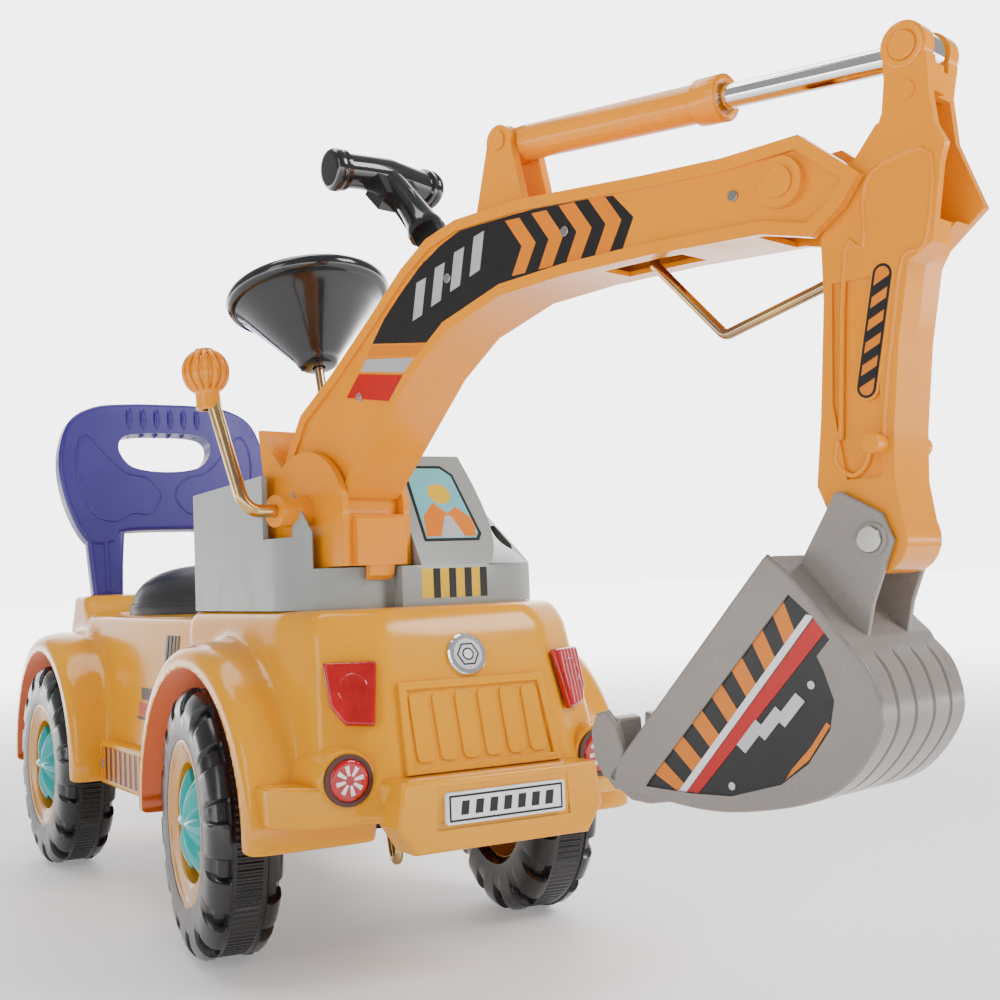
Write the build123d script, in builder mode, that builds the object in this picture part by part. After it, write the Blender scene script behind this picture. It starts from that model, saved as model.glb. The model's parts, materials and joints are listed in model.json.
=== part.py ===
from build123d import *
import os
from math import asin, cos, degrees, pi, radians, sin

# Ride-on toy excavator. Millimetres, +Z up, child faces -Y.
# Origin: on the ground, midway between the front wheels. Left is the child's left, +X.

# ---------------------------------------------------------------- driving sizes
tyre_radius = 95.0
tyre_width = 52.0
overall_track = 298.0          # outer face to outer face of a pair of tyres
wheelbase = 448.0
rim_radius = 56.0
axle_radius = 5.0
running_clearance = 0.05       # radial, shaft in hole
part_gap = 0.5                 # between neighbours that must not touch
shell_wall = 3.0

rest_steer = 6.5               # degrees, front wheels as parked
kingpin_half_track = 80.0
steer_arm = 34.0
crank_throw = 14.0
column_tilt = 16.5             # degrees back from upright

rest_swing = 15.0              # degrees, boom as parked, towards +X
swing_x, swing_y = -55.0, -58.0
boom_width = 48.0
stick_width = 34.0
bucket_width = 84.0
boom_wall = 3.0

wheel_x = overall_track / 2 - tyre_width / 2
axle_height = tyre_radius
arch_radius = tyre_radius + 15
fender_radius = arch_radius + 18
fender_outer = overall_track / 2 - 3

os.makedirs("parts", exist_ok=True)


def save(piece, name):
    """Label one finished piece and write it as its own file."""
    piece.label = name
    export_step(piece, f"parts/{name}.step")


def mirrored_outline(points):
    """Closed outline from its right-hand points, front to back."""
    left = [(-x, y) for x, y in reversed(points)]
    return points + left


# ---------------------------------------------------------------- boom plane
# Everything on the digging arm is drawn in one upright plane through the
# swing axis: first coordinate forward along the arm, second height.
swing_cos, swing_sin = cos(radians(rest_swing)), sin(radians(rest_swing))
arm_forward = Vector(swing_sin, -swing_cos, 0)
arm_normal = Vector(-swing_cos, -swing_sin, 0)


def arm_plane(offset=0.0):
    """Arm plane moved sideways, positive towards the lever side."""
    middle = Vector(swing_x, swing_y, 0)
    return Plane(origin=middle + arm_normal * offset, x_dir=arm_forward, z_dir=arm_normal)


tilt_pivot = (8.0, 311.0)
stick_pivot = (399.0, 455.0)
bucket_pivot = (438.0, 272.0)
barrel_pivot = (192.0, 529.0)
rod_pivot = (466.0, 508.0)
handle_pivot = (129.0, 462.0)

# ---------------------------------------------------------------- body shell
floor_z = 88.0                 # lowest edge of the body
sill_z = 108.0                 # lower edge of bumper and side walls
fold_z = 229.0                 # front edge of the bonnet's top
deck_z = 243.0                 # console seat on the bonnet
seat_deck_z = 238.0
rear_deck_z = 258.0
tail_y = wheelbase + 70
bonnet_back = 112.0
bonnet_low = [(66, -176), (112, -150), (116, -100), (116, bonnet_back)]
bonnet_fold = [(62, -142), (99, -118), (107, -80), (107, bonnet_back)]
bonnet_top = [(54, -134), (92, -112), (103, -78), (103, bonnet_back)]
bumper_top = 136.0
bumper_plan = [(69, -192), (76, -160), (114, -160), (140, -136), (146, -90)]
well_half = 58.0               # inner wall of the front wheel wells
rear_well_half = 92.0
pan_low, pan_high = 116.0, 120.0
wall_half = 96.0
step_half = 125.0
step_front, step_back = 134.0, 316.0
step_top = 128.0
lamp_x, lamp_y, lamp_z = 95.0, -160.0, 137.0
lamp_radius = 14.5

# Steering column line, from the steering wheel's centre down to the crank.
wheel_centre = Vector(0, 102.3, 499.2)
column_up = Vector(0, sin(radians(column_tilt)), cos(radians(column_tilt)))


def column_at(height):
    """Point on the column's axis at one height."""
    return wheel_centre - column_up * ((wheel_centre.Z - height) / column_up.Z)


with BuildPart() as body_shell:
    # bonnet, up to its fold and then to the console's seat
    with BuildSketch(Plane.XY.offset(sill_z)):
        with BuildLine():
            Polyline(mirrored_outline(bonnet_low), close=True)
        make_face()
    with BuildSketch(Plane.XY.offset(fold_z)):
        with BuildLine():
            Polyline(mirrored_outline(bonnet_fold), close=True)
        make_face()
    loft(ruled=True)
    with BuildSketch(Plane.XY.offset(fold_z)):
        with BuildLine():
            Polyline(mirrored_outline(bonnet_fold), close=True)
        make_face()
    with BuildSketch(Plane.XY.offset(deck_z)):
        with BuildLine():
            Polyline(mirrored_outline(bonnet_top), close=True)
        make_face()
    loft(ruled=True)
    # side walls and deck, one section drawn across and run to the tail
    with BuildSketch(Plane.XZ.offset(-tail_y)):
        with BuildLine():
            Polyline((-116, sill_z), (116, sill_z), (wall_half, rear_deck_z), (-wall_half, rear_deck_z), close=True)
        make_face()
    extrude(amount=tail_y - bonnet_back + 12)
    # deck steps down in front of the tail, for the seat
    with BuildSketch(Plane.YZ):
        with BuildLine():
            Polyline((80, seat_deck_z), (tail_y - 72, seat_deck_z), (tail_y - 44, rear_deck_z), (tail_y, rear_deck_z),
                     (tail_y, 400), (80, 400), close=True)
        make_face()
    extrude(amount=fender_outer, both=True, mode=Mode.SUBTRACT)
    with BuildSketch(Plane.XY.offset(seat_deck_z)):
        with BuildLine():
            Polyline(mirrored_outline([(103, -78), (103, bonnet_back)]), close=True)
        make_face()
    extrude(amount=deck_z - seat_deck_z)
    # mudguards
    for side in (-1, 1):
        with BuildSketch(Plane.YZ.offset(side * well_half)):
            for axle_y in (0, wheelbase):
                with Locations((axle_y, axle_height)):
                    Circle(fender_radius)
            with BuildLine():
                Polyline((-200, -200), (wheelbase + 300, -200), (wheelbase + 300, floor_z), (-200, floor_z), close=True)
            make_face(mode=Mode.SUBTRACT)
        extrude(amount=side * (fender_outer - well_half))
    # running boards
    with Locations((0, (step_front + step_back) / 2, (floor_z + step_top) / 2)):
        Box(2 * step_half, step_back - step_front, step_top - floor_z)
    # bumper with its lower lobe
    with BuildSketch(Plane.XY.offset(sill_z)):
        with BuildLine():
            Polyline(mirrored_outline(bumper_plan), close=True)
        make_face()
    extrude(amount=bumper_top - sill_z)
    with BuildSketch(Plane.XZ.offset(192)):
        with BuildLine():
            Polyline((-76, sill_z), (-64, floor_z + 1), (64, floor_z + 1), (76, sill_z), (72, bumper_top), (-72, bumper_top),
                     close=True)
        make_face()
    extrude(amount=-26)
    # round lamp housings
    with BuildSketch(Plane.XZ.offset(-lamp_y)):
        with Locations((lamp_x, lamp_z), (-lamp_x, lamp_z)):
            Circle(lamp_radius + 5)
    extrude(amount=-60)
    with BuildSketch(Plane.XZ.offset(-lamp_y)):
        with Locations((lamp_x, lamp_z), (-lamp_x, lamp_z)):
            Circle(lamp_radius + 5)
    extrude(amount=20, mode=Mode.SUBTRACT)
    # hollow inside: wheel wells, bonnet, seat box
    with BuildSketch(Plane.YZ.offset(well_half)):
        with Locations((0, axle_height)):
            Circle(arch_radius)
    extrude(amount=120, mode=Mode.SUBTRACT)
    with BuildSketch(Plane.YZ.offset(-well_half)):
        with Locations((0, axle_height)):
            Circle(arch_radius)
    extrude(amount=-120, mode=Mode.SUBTRACT)
    with BuildSketch(Plane.YZ.offset(rear_well_half)):
        with Locations((wheelbase, axle_height)):
            Circle(arch_radius)
    extrude(amount=120, mode=Mode.SUBTRACT)
    with BuildSketch(Plane.YZ.offset(-rear_well_half)):
        with Locations((wheelbase, axle_height)):
            Circle(arch_radius)
    extrude(amount=-120, mode=Mode.SUBTRACT)
    inner_half = well_half - shell_wall
    with BuildSketch(Plane.XY.offset(floor_z - 10)):
        with BuildLine():
            Polyline(mirrored_outline([(inner_half, -128), (inner_half, bonnet_back + 14)]), close=True)
        make_face()
    extrude(amount=fold_z - shell_wall - floor_z + 10, mode=Mode.SUBTRACT)
    with BuildSketch(Plane.XY.offset(floor_z - 10)):
        with BuildLine():
            Polyline(mirrored_outline([(rear_well_half - shell_wall, bonnet_back + 14),
                                       (rear_well_half - shell_wall, tail_y - 12)]), close=True)
        make_face()
    extrude(amount=seat_deck_z - shell_wall - floor_z + 10, mode=Mode.SUBTRACT)
    # hollow nose, side walls and running boards
    with BuildSketch(Plane.XY.offset(floor_z - 10)):
        with BuildLine():
            Polyline(mirrored_outline([(inner_half, -166), (inner_half, -128)]), close=True)
        make_face()
    with BuildSketch(Plane.XY.offset(fold_z - shell_wall)):
        with BuildLine():
            Polyline(mirrored_outline([(inner_half, -137), (inner_half, -128)]), close=True)
        make_face()
    loft(mode=Mode.SUBTRACT)
    wells_between = wheelbase - 2 * arch_radius - 2 * shell_wall
    with BuildSketch(Plane.XZ.offset(-arch_radius - shell_wall)):
        with BuildLine():
            Polyline((shell_wall - 116, floor_z - 10), (116 - shell_wall, floor_z - 10),
                     (wall_half - shell_wall, seat_deck_z - shell_wall), (shell_wall - wall_half, seat_deck_z - shell_wall),
                     close=True)
        make_face()
    extrude(amount=-wells_between, mode=Mode.SUBTRACT)
    with Locations((0, (step_front + step_back) / 2, (floor_z + step_top) / 2 - shell_wall)):
        Box(2 * (step_half - shell_wall), step_back - step_front - 2 * shell_wall, step_top - floor_z,
            mode=Mode.SUBTRACT)
    # ways through the well walls for the front beam, tie rod and rear axle
    for side in (-1, 1):
        with Locations((side * (well_half - shell_wall / 2), -16, pan_low / 2)):
            Box(2 * shell_wall + 2, 60, pan_low, mode=Mode.SUBTRACT)
    with BuildSketch(Plane(origin=(-rear_well_half - 5, wheelbase, axle_height), z_dir=(1, 0, 0))):
        Circle(axle_radius + 1)
    extrude(amount=2 * rear_well_half + 10, mode=Mode.SUBTRACT)
    # way through for the steering column
    with BuildSketch(Plane(origin=column_at(200), z_dir=column_up)):
        Circle(7)
    extrude(amount=80, mode=Mode.SUBTRACT)
    # bolt hole for the arm's turntable
    with BuildSketch(Plane.XY.offset(fold_z - shell_wall - 6)):
        with Locations((swing_x, swing_y)):
            Circle(11)
    extrude(amount=6, mode=Mode.SUBTRACT)
    with BuildSketch(Plane.XY.offset(fold_z - 20)):
        with Locations((swing_x, swing_y)):
            Circle(axle_radius + part_gap)
    extrude(amount=60, mode=Mode.SUBTRACT)
save(body_shell.part, "body_shell")

# ---------------------------------------------------------------- underbody
beam_half = kingpin_half_track + 12
ear_gap = 26.6                 # between the axle beam's upper and lower ears
ear_thickness = 6.0
beam_top = axle_height + ear_gap / 2 + ear_thickness
beam_low = axle_height - ear_gap / 2 - ear_thickness
kingpin_radius = 5.0
tie_low, tie_thickness = 84.5, 5.0
column_radius = 4.0

with BuildPart() as chassis_pan:
    with Locations((0, 0, (pan_low + pan_high) / 2)):
        Box(2 * inner_half - 2 * part_gap, 2 * (bonnet_back + 14), pan_high - pan_low)
    rear_plate = tail_y - 14 - (bonnet_back + 14)
    with Locations((0, bonnet_back + 14 + rear_plate / 2, (pan_low + pan_high) / 2)):
        Box(2 * (rear_well_half - shell_wall), rear_plate, pan_high - pan_low)
    for side in (-1, 1):
        with Locations((side * 60, wheelbase, (pan_low + axle_height - 10) / 2)):
            Box(10, 24, pan_low - axle_height + 10)
    with Locations(Plane(origin=(0, wheelbase, axle_height), z_dir=(1, 0, 0))):
        Hole(axle_radius)
    with BuildSketch(Plane(origin=column_at(axle_height), z_dir=column_up)):
        Circle(column_radius + 3)
    extrude(amount=60, mode=Mode.SUBTRACT)
save(chassis_pan.part, "chassis_pan")

with BuildPart() as front_axle_beam:
    for low in (beam_low, beam_top - ear_thickness):
        with BuildSketch(Plane.XY.offset(low)):
            SlotCenterToCenter(2 * kingpin_half_track, 16)
            Rectangle(2 * kingpin_half_track - 40, 14)
        extrude(amount=ear_thickness)
    for side in (-1, 1):
        with Locations((side * 45, 0, axle_height)):
            Box(22, 14, ear_gap)
        with Locations((side * 30, 0, (beam_top + pan_low) / 2)):
            Box(20, 14, pan_low - beam_top)
        with BuildSketch(Plane.XY.offset(beam_low)):
            with Locations((side * kingpin_half_track, 0)):
                Circle(kingpin_radius + running_clearance)
        extrude(amount=60, mode=Mode.SUBTRACT)
    with BuildSketch(Plane.XY.offset(beam_low)):
        with Locations((0, -8 - 14)):
            Rectangle(40, 30)
    extrude(amount=60, mode=Mode.SUBTRACT)
save(front_axle_beam.part, "front_axle_beam")

with BuildPart() as rear_axle:
    with BuildSketch(Plane(origin=(-wheel_x - 17, wheelbase, axle_height), z_dir=(1, 0, 0))):
        Circle(axle_radius)
    extrude(amount=2 * wheel_x + 34)
save(rear_axle.part, "rear_axle")

# ---------------------------------------------------------------- steering
def kingpin_axis(side):
    """Upright axis that one front wheel turns about."""
    return Axis((side * kingpin_half_track, 0, 0), (0, 0, 1))


# Turning the wheels towards -X is a turn of minus rest_steer about +Z.
steer_turn = -rest_steer
arm_low = tie_low + tie_thickness + 0.5
arm_pin_radius = 3.0

for side, name in ((1, "steering_knuckle_left"), (-1, "steering_knuckle_right")):
    with BuildPart() as knuckle:
        with BuildSketch(Plane.XY.offset(axle_height - ear_gap / 2 + 0.3)):
            with Locations((side * kingpin_half_track, 0)):
                Circle(9)
        extrude(amount=ear_gap - 0.6)
        with BuildSketch(Plane.XY.offset(beam_low)):
            with Locations((side * kingpin_half_track, 0)):
                Circle(kingpin_radius)
        extrude(amount=beam_top - beam_low)
        with BuildSketch(Plane(origin=(side * kingpin_half_track, 0, axle_height), z_dir=(side, 0, 0))):
            Circle(axle_radius)
        extrude(amount=wheel_x + 17 - kingpin_half_track)
        with Locations((side * kingpin_half_track, -steer_arm / 2 - 2, arm_low + 3)):
            Box(9, steer_arm + 4, 6)
        with BuildSketch(Plane.XY.offset(tie_low - 1)):
            with Locations((side * kingpin_half_track, -steer_arm)):
                Circle(arm_pin_radius)
        extrude(amount=arm_low + 1 - tie_low)
    save(knuckle.part.rotate(kingpin_axis(side), steer_turn), name)

tie_shift = -steer_arm * sin(radians(rest_steer))
tie_y = -steer_arm
with BuildPart() as tie_rod:
    with BuildSketch(Plane.XY.offset(tie_low)):
        with Locations((tie_shift, tie_y)):
            SlotCenterToCenter(2 * kingpin_half_track, 16)
        for side in (-1, 0, 1):
            slot = arm_pin_radius if side else column_radius
            with Locations((side * kingpin_half_track + tie_shift, tie_y + 0.3)):
                SlotOverall(2 * slot + 4.5, 2 * slot + 1.0, rotation=90, mode=Mode.SUBTRACT)
    extrude(amount=tie_thickness)
save(tie_rod.part, "tie_rod")

rest_column = degrees(asin(tie_shift / -crank_throw))
column_foot = column_at(62)
dish_radius, dish_depth = 62.0, 64.0
column_head = wheel_centre - column_up * dish_depth
crank_out = Vector(0, -cos(radians(column_tilt)), sin(radians(column_tilt)))
with BuildPart() as steering_column:
    with BuildLine():
        bend_end = column_foot + crank_out * crank_throw
        low_point = column_foot + crank_out * (crank_throw / 2) - column_up * (crank_throw / 2)
        Line(column_head + column_up * 10, column_foot)
        ThreePointArc(column_foot, low_point, bend_end)
        Line(bend_end, bend_end + column_up * (tie_low + tie_thickness + 1.5 - bend_end.Z))
    with BuildSketch(Plane(origin=column_head + column_up * 10, z_dir=-column_up)):
        Circle(column_radius)
    sweep()
column_axis = Axis((wheel_centre.X, wheel_centre.Y, wheel_centre.Z), (column_up.X, column_up.Y, column_up.Z))
save(steering_column.part.rotate(column_axis, -rest_column), "steering_column")

dish_wall = 3.0
rim_tube = 7.0
hub_radius = 15.0
with BuildPart() as steering_wheel:
    with BuildSketch(Plane(origin=wheel_centre, x_dir=(1, 0, 0), z_dir=crank_out)):
        with BuildLine():
            Polyline((column_radius, -dish_depth), (hub_radius, -dish_depth), (hub_radius + 3, -dish_depth + 4),
                     (dish_radius, -4), (dish_radius, 1), (dish_radius - 4, 1), (hub_radius + 1, -dish_depth + 12),
                     (hub_radius + 1, -10), (column_radius, -10), close=True)
        make_face()
        with Locations((dish_radius - 1, 0)):
            Circle(rim_tube)
    revolve(axis=column_axis)
save(steering_wheel.part, "steering_wheel")

with BuildPart() as horn_button:
    with BuildSketch(Plane(origin=wheel_centre - column_up * 10, z_dir=column_up)):
        Circle(hub_radius)
    extrude(amount=8)
    fillet(horn_button.faces().sort_by(Axis((0, 0, 0), (column_up.X, column_up.Y, column_up.Z)))[-1].edges(), 4)
save(horn_button.part, "horn_button")

# ---------------------------------------------------------------- wheels
tread_depth, lug_count = 7.0, 18
tyre_bead = rim_radius + 0.1


def make_tyre(hub, outward):
    """Open-backed tyre with blocks on both shoulders."""
    base = Plane(origin=hub, z_dir=outward)
    half = tyre_width / 2
    with BuildPart() as tyre:
        with BuildSketch(Plane(origin=hub, x_dir=base.x_dir, z_dir=-base.y_dir)):
            with BuildLine():
                Polyline((tyre_bead, -half + 4), (tyre_bead + 4, -half), (tyre_radius - 12, -half), (tyre_radius, -half + 7),
                         (tyre_radius, half - 7), (tyre_radius - 12, half), (tyre_bead + 4, half), (tyre_bead, half - 4),
                         (tyre_bead, half - 8), (tyre_bead + 6, half - 5), (tyre_radius - 13, half - 5),
                         (tyre_radius - 11, half - 12), (tyre_radius - 11, -half + 12), (tyre_radius - 13, -half + 5),
                         (tyre_bead + 6, -half + 5), (tyre_bead, -half + 8), close=True)
            make_face()
        revolve(axis=Axis((hub.X, hub.Y, hub.Z), (outward.X, outward.Y, outward.Z)))
        for level in (-half, half - 9):
            with BuildSketch(base.offset(level)):
                with PolarLocations(tyre_radius, lug_count):
                    Rectangle(tread_depth, 2 * pi * tyre_radius / lug_count * 0.38)
            extrude(amount=9, mode=Mode.SUBTRACT)
    return tyre.part


def make_rim(hub, outward):
    """Dished rim: barrel, web, hub tube and the visible outer ring."""
    base = Plane(origin=hub, z_dir=outward)
    with BuildPart() as rim:
        with BuildSketch(base.offset(-18)):
            Circle(rim_radius)
            Circle(rim_radius - 4, mode=Mode.SUBTRACT)
        extrude(amount=38)
        with BuildSketch(base.offset(16)):
            Circle(rim_radius)
            Circle(43, mode=Mode.SUBTRACT)
        extrude(amount=4)
        with BuildSketch(base):
            Circle(rim_radius - 1)
        extrude(amount=4)
        with BuildSketch(base.offset(-18)):
            Circle(12)
        extrude(amount=26)
        with BuildSketch(base.offset(-18)):
            Circle(axle_radius + running_clearance)
        extrude(amount=60, mode=Mode.SUBTRACT)
    return rim.part


def make_hubcap(hub, outward):
    """Six-lobed cap over the wheel's hub."""
    base = Plane(origin=hub, z_dir=outward)
    with BuildPart() as cap:
        with BuildSketch(base.offset(8)):
            Circle(30)
            with PolarLocations(30, 6):
                Circle(10)
        extrude(amount=9)
        with BuildSketch(base.offset(17)):
            Circle(22)
        with BuildSketch(base.offset(22)):
            Circle(15)
        loft()
        with BuildSketch(base.offset(8)):
            Circle(axle_radius + part_gap)
        extrude(amount=10.5, mode=Mode.SUBTRACT)
    return cap.part


corners = {"front_left": (1, 0), "front_right": (-1, 0), "rear_left": (1, wheelbase), "rear_right": (-1, wheelbase)}
for corner, (side, axle_y) in corners.items():
    hub = Vector(side * wheel_x, axle_y, axle_height)
    outward = Vector(side, 0, 0)
    pieces = {"tyre": make_tyre(hub, outward), "rim": make_rim(hub, outward), "hubcap": make_hubcap(hub, outward)}
    for kind, piece in pieces.items():
        if corner.startswith("front"):
            piece = piece.rotate(kingpin_axis(side), steer_turn)
        save(piece, f"{corner}_{kind}")

# ---------------------------------------------------------------- console
console_half = 102.0
console_back = 106.0
sill_top = 271.0
console_top = 338.0
cab_top = 352.0
console_wall = 3.0
turntable_radius = 47.0        # rounded front left corner, about the swing axis
cab_left = -12.5
cab_corner = -28.0
corner_turn = radians(28)      # how far the round corner runs past straight ahead
cab_front = -112.0
floor_thickness = 6.0
notch_left = -86.0
boss_sweep_back = -44.0
swing_hole = axle_radius + running_clearance

with BuildPart() as console:
    # base band with its round corner about the swing axis
    with BuildSketch(Plane.XY.offset(deck_z)):
        with BuildLine():
            corner_start = (swing_x - turntable_radius, swing_y)
            corner_end = (swing_x + turntable_radius * sin(corner_turn), swing_y - turntable_radius * cos(corner_turn))
            corner_middle = (swing_x - turntable_radius * sin(pi / 6), swing_y - turntable_radius * cos(pi / 6))
            ThreePointArc(corner_start, corner_middle, corner_end)
            Polyline(corner_end, (cab_corner, corner_end[1]), (cab_corner, cab_front), (40, cab_front), (100, -70),
                     (100, console_back), (-console_half, console_back), corner_start)
        make_face()
    extrude(amount=sill_top - deck_z)
    # tall left wall and rear deck
    with BuildSketch(Plane.YZ.offset(-console_half)):
        with BuildLine():
            Polyline((boss_sweep_back, sill_top), (boss_sweep_back, console_top), (console_back, console_top - 4),
                     (console_back, sill_top), close=True)
        make_face()
    extrude(amount=console_half + 100)
    # cab on the right, with its sloping front
    with BuildSketch(Plane.YZ.offset(cab_left)):
        with BuildLine():
            Polyline((cab_front, sill_top), (-58, cab_top), (20, cab_top), (48, console_top - 2), (48, sill_top), close=True)
        make_face()
    extrude(amount=100 - cab_left)
    # right shoulder of the cab leans in
    with BuildSketch(Plane.XY.offset(sill_top)):
        with BuildLine():
            Polyline((40, cab_front - 2), (100, -70), (102, -70), (102, cab_front - 2), close=True)
        make_face()
    with BuildSketch(Plane.XY.offset(cab_top + 1)):
        with BuildLine():
            Polyline((48, cab_front - 2), (48, 20), (102, 60), (102, cab_front - 2), close=True)
        make_face()
    loft(mode=Mode.SUBTRACT)
    # open well for the arm's turntable, with a floor
    well_radius = turntable_radius - console_wall
    with BuildSketch(Plane.XY.offset(deck_z + floor_thickness)):
        with Locations((swing_x, swing_y)):
            Circle(well_radius)
        with Locations(((cab_left - 2 - console_half + 4) / 2, swing_y + 45)):
            Rectangle(cab_left - 2 + console_half - 4, 74)
    extrude(amount=200, mode=Mode.SUBTRACT)
    with BuildSketch(Plane.XY.offset(sill_top)):
        with BuildLine():
            Polyline((-console_half - 5, swing_y - 60), (cab_left, swing_y - 60), (cab_left, swing_y), (-console_half - 5, swing_y),
                     close=True)
        make_face()
    extrude(amount=200, mode=Mode.SUBTRACT)
    # hollow under the cab and the rear deck
    with BuildSketch(Plane.XY.offset(deck_z)):
        with BuildLine():
            Polyline((cab_left + console_wall, -88), (52, -88), (92, -60), (100 - console_wall, -50),
                     (100 - console_wall, console_back - console_wall), (console_wall - console_half, console_back - console_wall),
                     (console_wall - console_half, 36), (cab_left + console_wall, 36), close=True)
        make_face()
    extrude(amount=sill_top - deck_z + 30, mode=Mode.SUBTRACT)
    with BuildSketch(Plane.XY.offset(deck_z)):
        with Locations((swing_x, swing_y)):
            Circle(axle_radius)
    extrude(amount=20, mode=Mode.SUBTRACT)
    with BuildSketch(Plane(origin=column_at(240), z_dir=column_up)):
        Circle(column_radius + 1)
    extrude(amount=140, mode=Mode.SUBTRACT)
# raised left corner wall beside the turntable
with BuildPart() as corner_wall:
    with BuildSketch(Plane.XY.offset(sill_top)):
        with Locations((swing_x, swing_y)):
            Circle(turntable_radius)
            Circle(turntable_radius - console_wall, mode=Mode.SUBTRACT)
        with BuildLine():
            Polyline((swing_x - 60, swing_y + 0.0), (swing_x - 60, swing_y - 60), (notch_left, swing_y - 60), (notch_left, swing_y),
                     close=True)
        make_face(mode=Mode.INTERSECT)
    extrude(amount=22)
    with BuildSketch(Plane.XY.offset(sill_top)):
        with Locations((-console_half + console_wall / 2, (swing_y + boss_sweep_back) / 2)):
            Rectangle(console_wall, boss_sweep_back - swing_y)
    extrude(amount=22)
with BuildPart() as console_joined:
    add(console.part)
    add(corner_wall.part)
save(console_joined.part, "console")

# ---------------------------------------------------------------- seat
seat_centre_y, seat_length, seat_width_half, seat_height = 338.0, 210.0, 84.0, 46.0
with BuildPart() as seat:
    with BuildSketch(Plane.XY.offset(seat_deck_z)):
        with Locations((0, seat_centre_y)):
            Ellipse(seat_width_half, seat_length / 2)
    extrude(amount=12)
    with BuildSketch(Plane.XY.offset(seat_deck_z + 12)):
        with Locations((0, seat_centre_y)):
            Ellipse(seat_width_half, seat_length / 2)
    with BuildSketch(Plane.XY.offset(seat_deck_z + 32)):
        with Locations((0, seat_centre_y)):
            Ellipse(seat_width_half - 12, seat_length / 2 - 14)
    with BuildSketch(Plane.XY.offset(seat_deck_z + seat_height)):
        with Locations((0, seat_centre_y)):
            Ellipse(seat_width_half - 42, seat_length / 2 - 46)
    loft()
save(seat.part, "seat")

back_lean = 8.0
back_plane = Plane(origin=(0, tail_y - 26, rear_deck_z), x_dir=(1, 0, 0),
                   z_dir=(0, -cos(radians(back_lean)), sin(radians(back_lean))))
back_half, back_low, back_high, back_thickness = 113.0, 52.0, 203.0, 22.0
post_x, post_width = 66.0, 38.0
with BuildPart() as seatback:
    with BuildSketch(back_plane.offset(-back_thickness / 2)):
        with BuildLine():
            Polyline((-52, back_low + 14), (-58, back_low), (-86, back_low), (-back_half + 2, back_low + 50), (-back_half, back_low + 90),
                     (-back_half + 14, back_high - 22), (-back_half + 40, back_high - 2), (-40, back_high), (40, back_high),
                     (back_half - 40, back_high - 2), (back_half - 14, back_high - 22), (back_half, back_low + 90),
                     (back_half - 2, back_low + 50), (86, back_low), (58, back_low), (52, back_low + 14), close=True)
        make_face()
        with Locations((0, back_low + 97)):
            SlotOverall(100, 40, mode=Mode.SUBTRACT)
    extrude(amount=back_thickness)
    with BuildSketch(back_plane.offset(-back_thickness / 2 + 1)):
        for side in (-1, 1):
            with BuildLine():
                Polyline((side * (post_x - post_width / 2), back_low + 20), (side * (post_x - post_width / 2 + 5), 0),
                         (side * (post_x + post_width / 2 - 2), 0), (side * (post_x + post_width / 2), back_low + 20), close=True)
            make_face()
    extrude(amount=back_thickness - 2)
    split(bisect_by=Plane.XY.offset(rear_deck_z), keep=Keep.TOP)
save(seatback.part, "seatback")

# ---------------------------------------------------------------- nose trim
# Lamps, grille, badge and plate sit on the bonnet's front face.
nose_slope = (bonnet_fold[0][1] - bonnet_low[0][1]) / (fold_z - sill_z)


def nose_y(height):
    """Front face of the bonnet near its middle, at one height."""
    return bonnet_low[0][1] + nose_slope * (height - sill_z)


nose_out = Vector(0, -1, nose_slope).normalized()
grille_z, grille_height, grille_top_half, grille_low_half = 165.0, 60.0, 55.0, 58.0
grille_plane = Plane(origin=(0, nose_y(grille_z), grille_z), x_dir=(1, 0, 0), z_dir=nose_out)
with BuildPart() as grille:
    with BuildSketch(grille_plane):
        with BuildLine():
            Polyline((-grille_low_half, -grille_height / 2), (grille_low_half, -grille_height / 2),
                     (grille_top_half, grille_height / 2), (-grille_top_half, grille_height / 2), close=True)
        make_face()
        with BuildLine():
            Polyline((5 - grille_low_half, 5 - grille_height / 2), (grille_low_half - 5, 5 - grille_height / 2),
                     (grille_top_half - 5, grille_height / 2 - 5), (5 - grille_top_half, grille_height / 2 - 5), close=True)
        make_face(mode=Mode.SUBTRACT)
    extrude(amount=3.5)
    with BuildSketch(grille_plane):
        Rectangle(2 * grille_top_half - 6, grille_height - 6)
    extrude(amount=1.2)
    with BuildSketch(grille_plane.offset(1.2)):
        with GridLocations(17, 1, 6, 1):
            RectangleRounded(12.5, grille_height - 15, 4)
    extrude(amount=1.6)
save(grille.part, "grille")

badge_z, badge_radius = 209.5, 14.5
with BuildPart() as badge_disc:
    with BuildSketch(Plane(origin=(0, nose_y(badge_z), badge_z), x_dir=(1, 0, 0), z_dir=nose_out)):
        Circle(badge_radius)
    extrude(amount=3)
    chamfer(badge_disc.faces().sort_by(Axis.Y)[0].edges(), 1)
save(badge_disc.part, "badge_disc")

plate_z, plate_width, plate_height = 117.0, 88.0, 20.0
with BuildPart() as number_plate:
    with BuildSketch(Plane.XZ.offset(-bumper_plan[0][1])):
        with Locations((0, plate_z)):
            RectangleRounded(plate_width, plate_height, 2)
    extrude(amount=3)
save(number_plate.part, "number_plate")

for side, name in ((1, "left"), (-1, "right")):
    with BuildPart() as lamp_ring:
        with BuildSketch(Plane.XZ.offset(-lamp_y)):
            with Locations((side * lamp_x, lamp_z)):
                Circle(lamp_radius + 2)
                Circle(lamp_radius - 1, mode=Mode.SUBTRACT)
        extrude(amount=3)
    save(lamp_ring.part, f"round_lamp_ring_{name}")
    with BuildPart() as lamp_lens:
        with BuildSketch(Plane.XZ.offset(-lamp_y)):
            with Locations((side * lamp_x, lamp_z)):
                Circle(lamp_radius - 1)
        extrude(amount=4)
        fillet(lamp_lens.faces().sort_by(Axis.Y)[0].edges(), 2.5)
    save(lamp_lens.part, f"round_lamp_lens_{name}")

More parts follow.
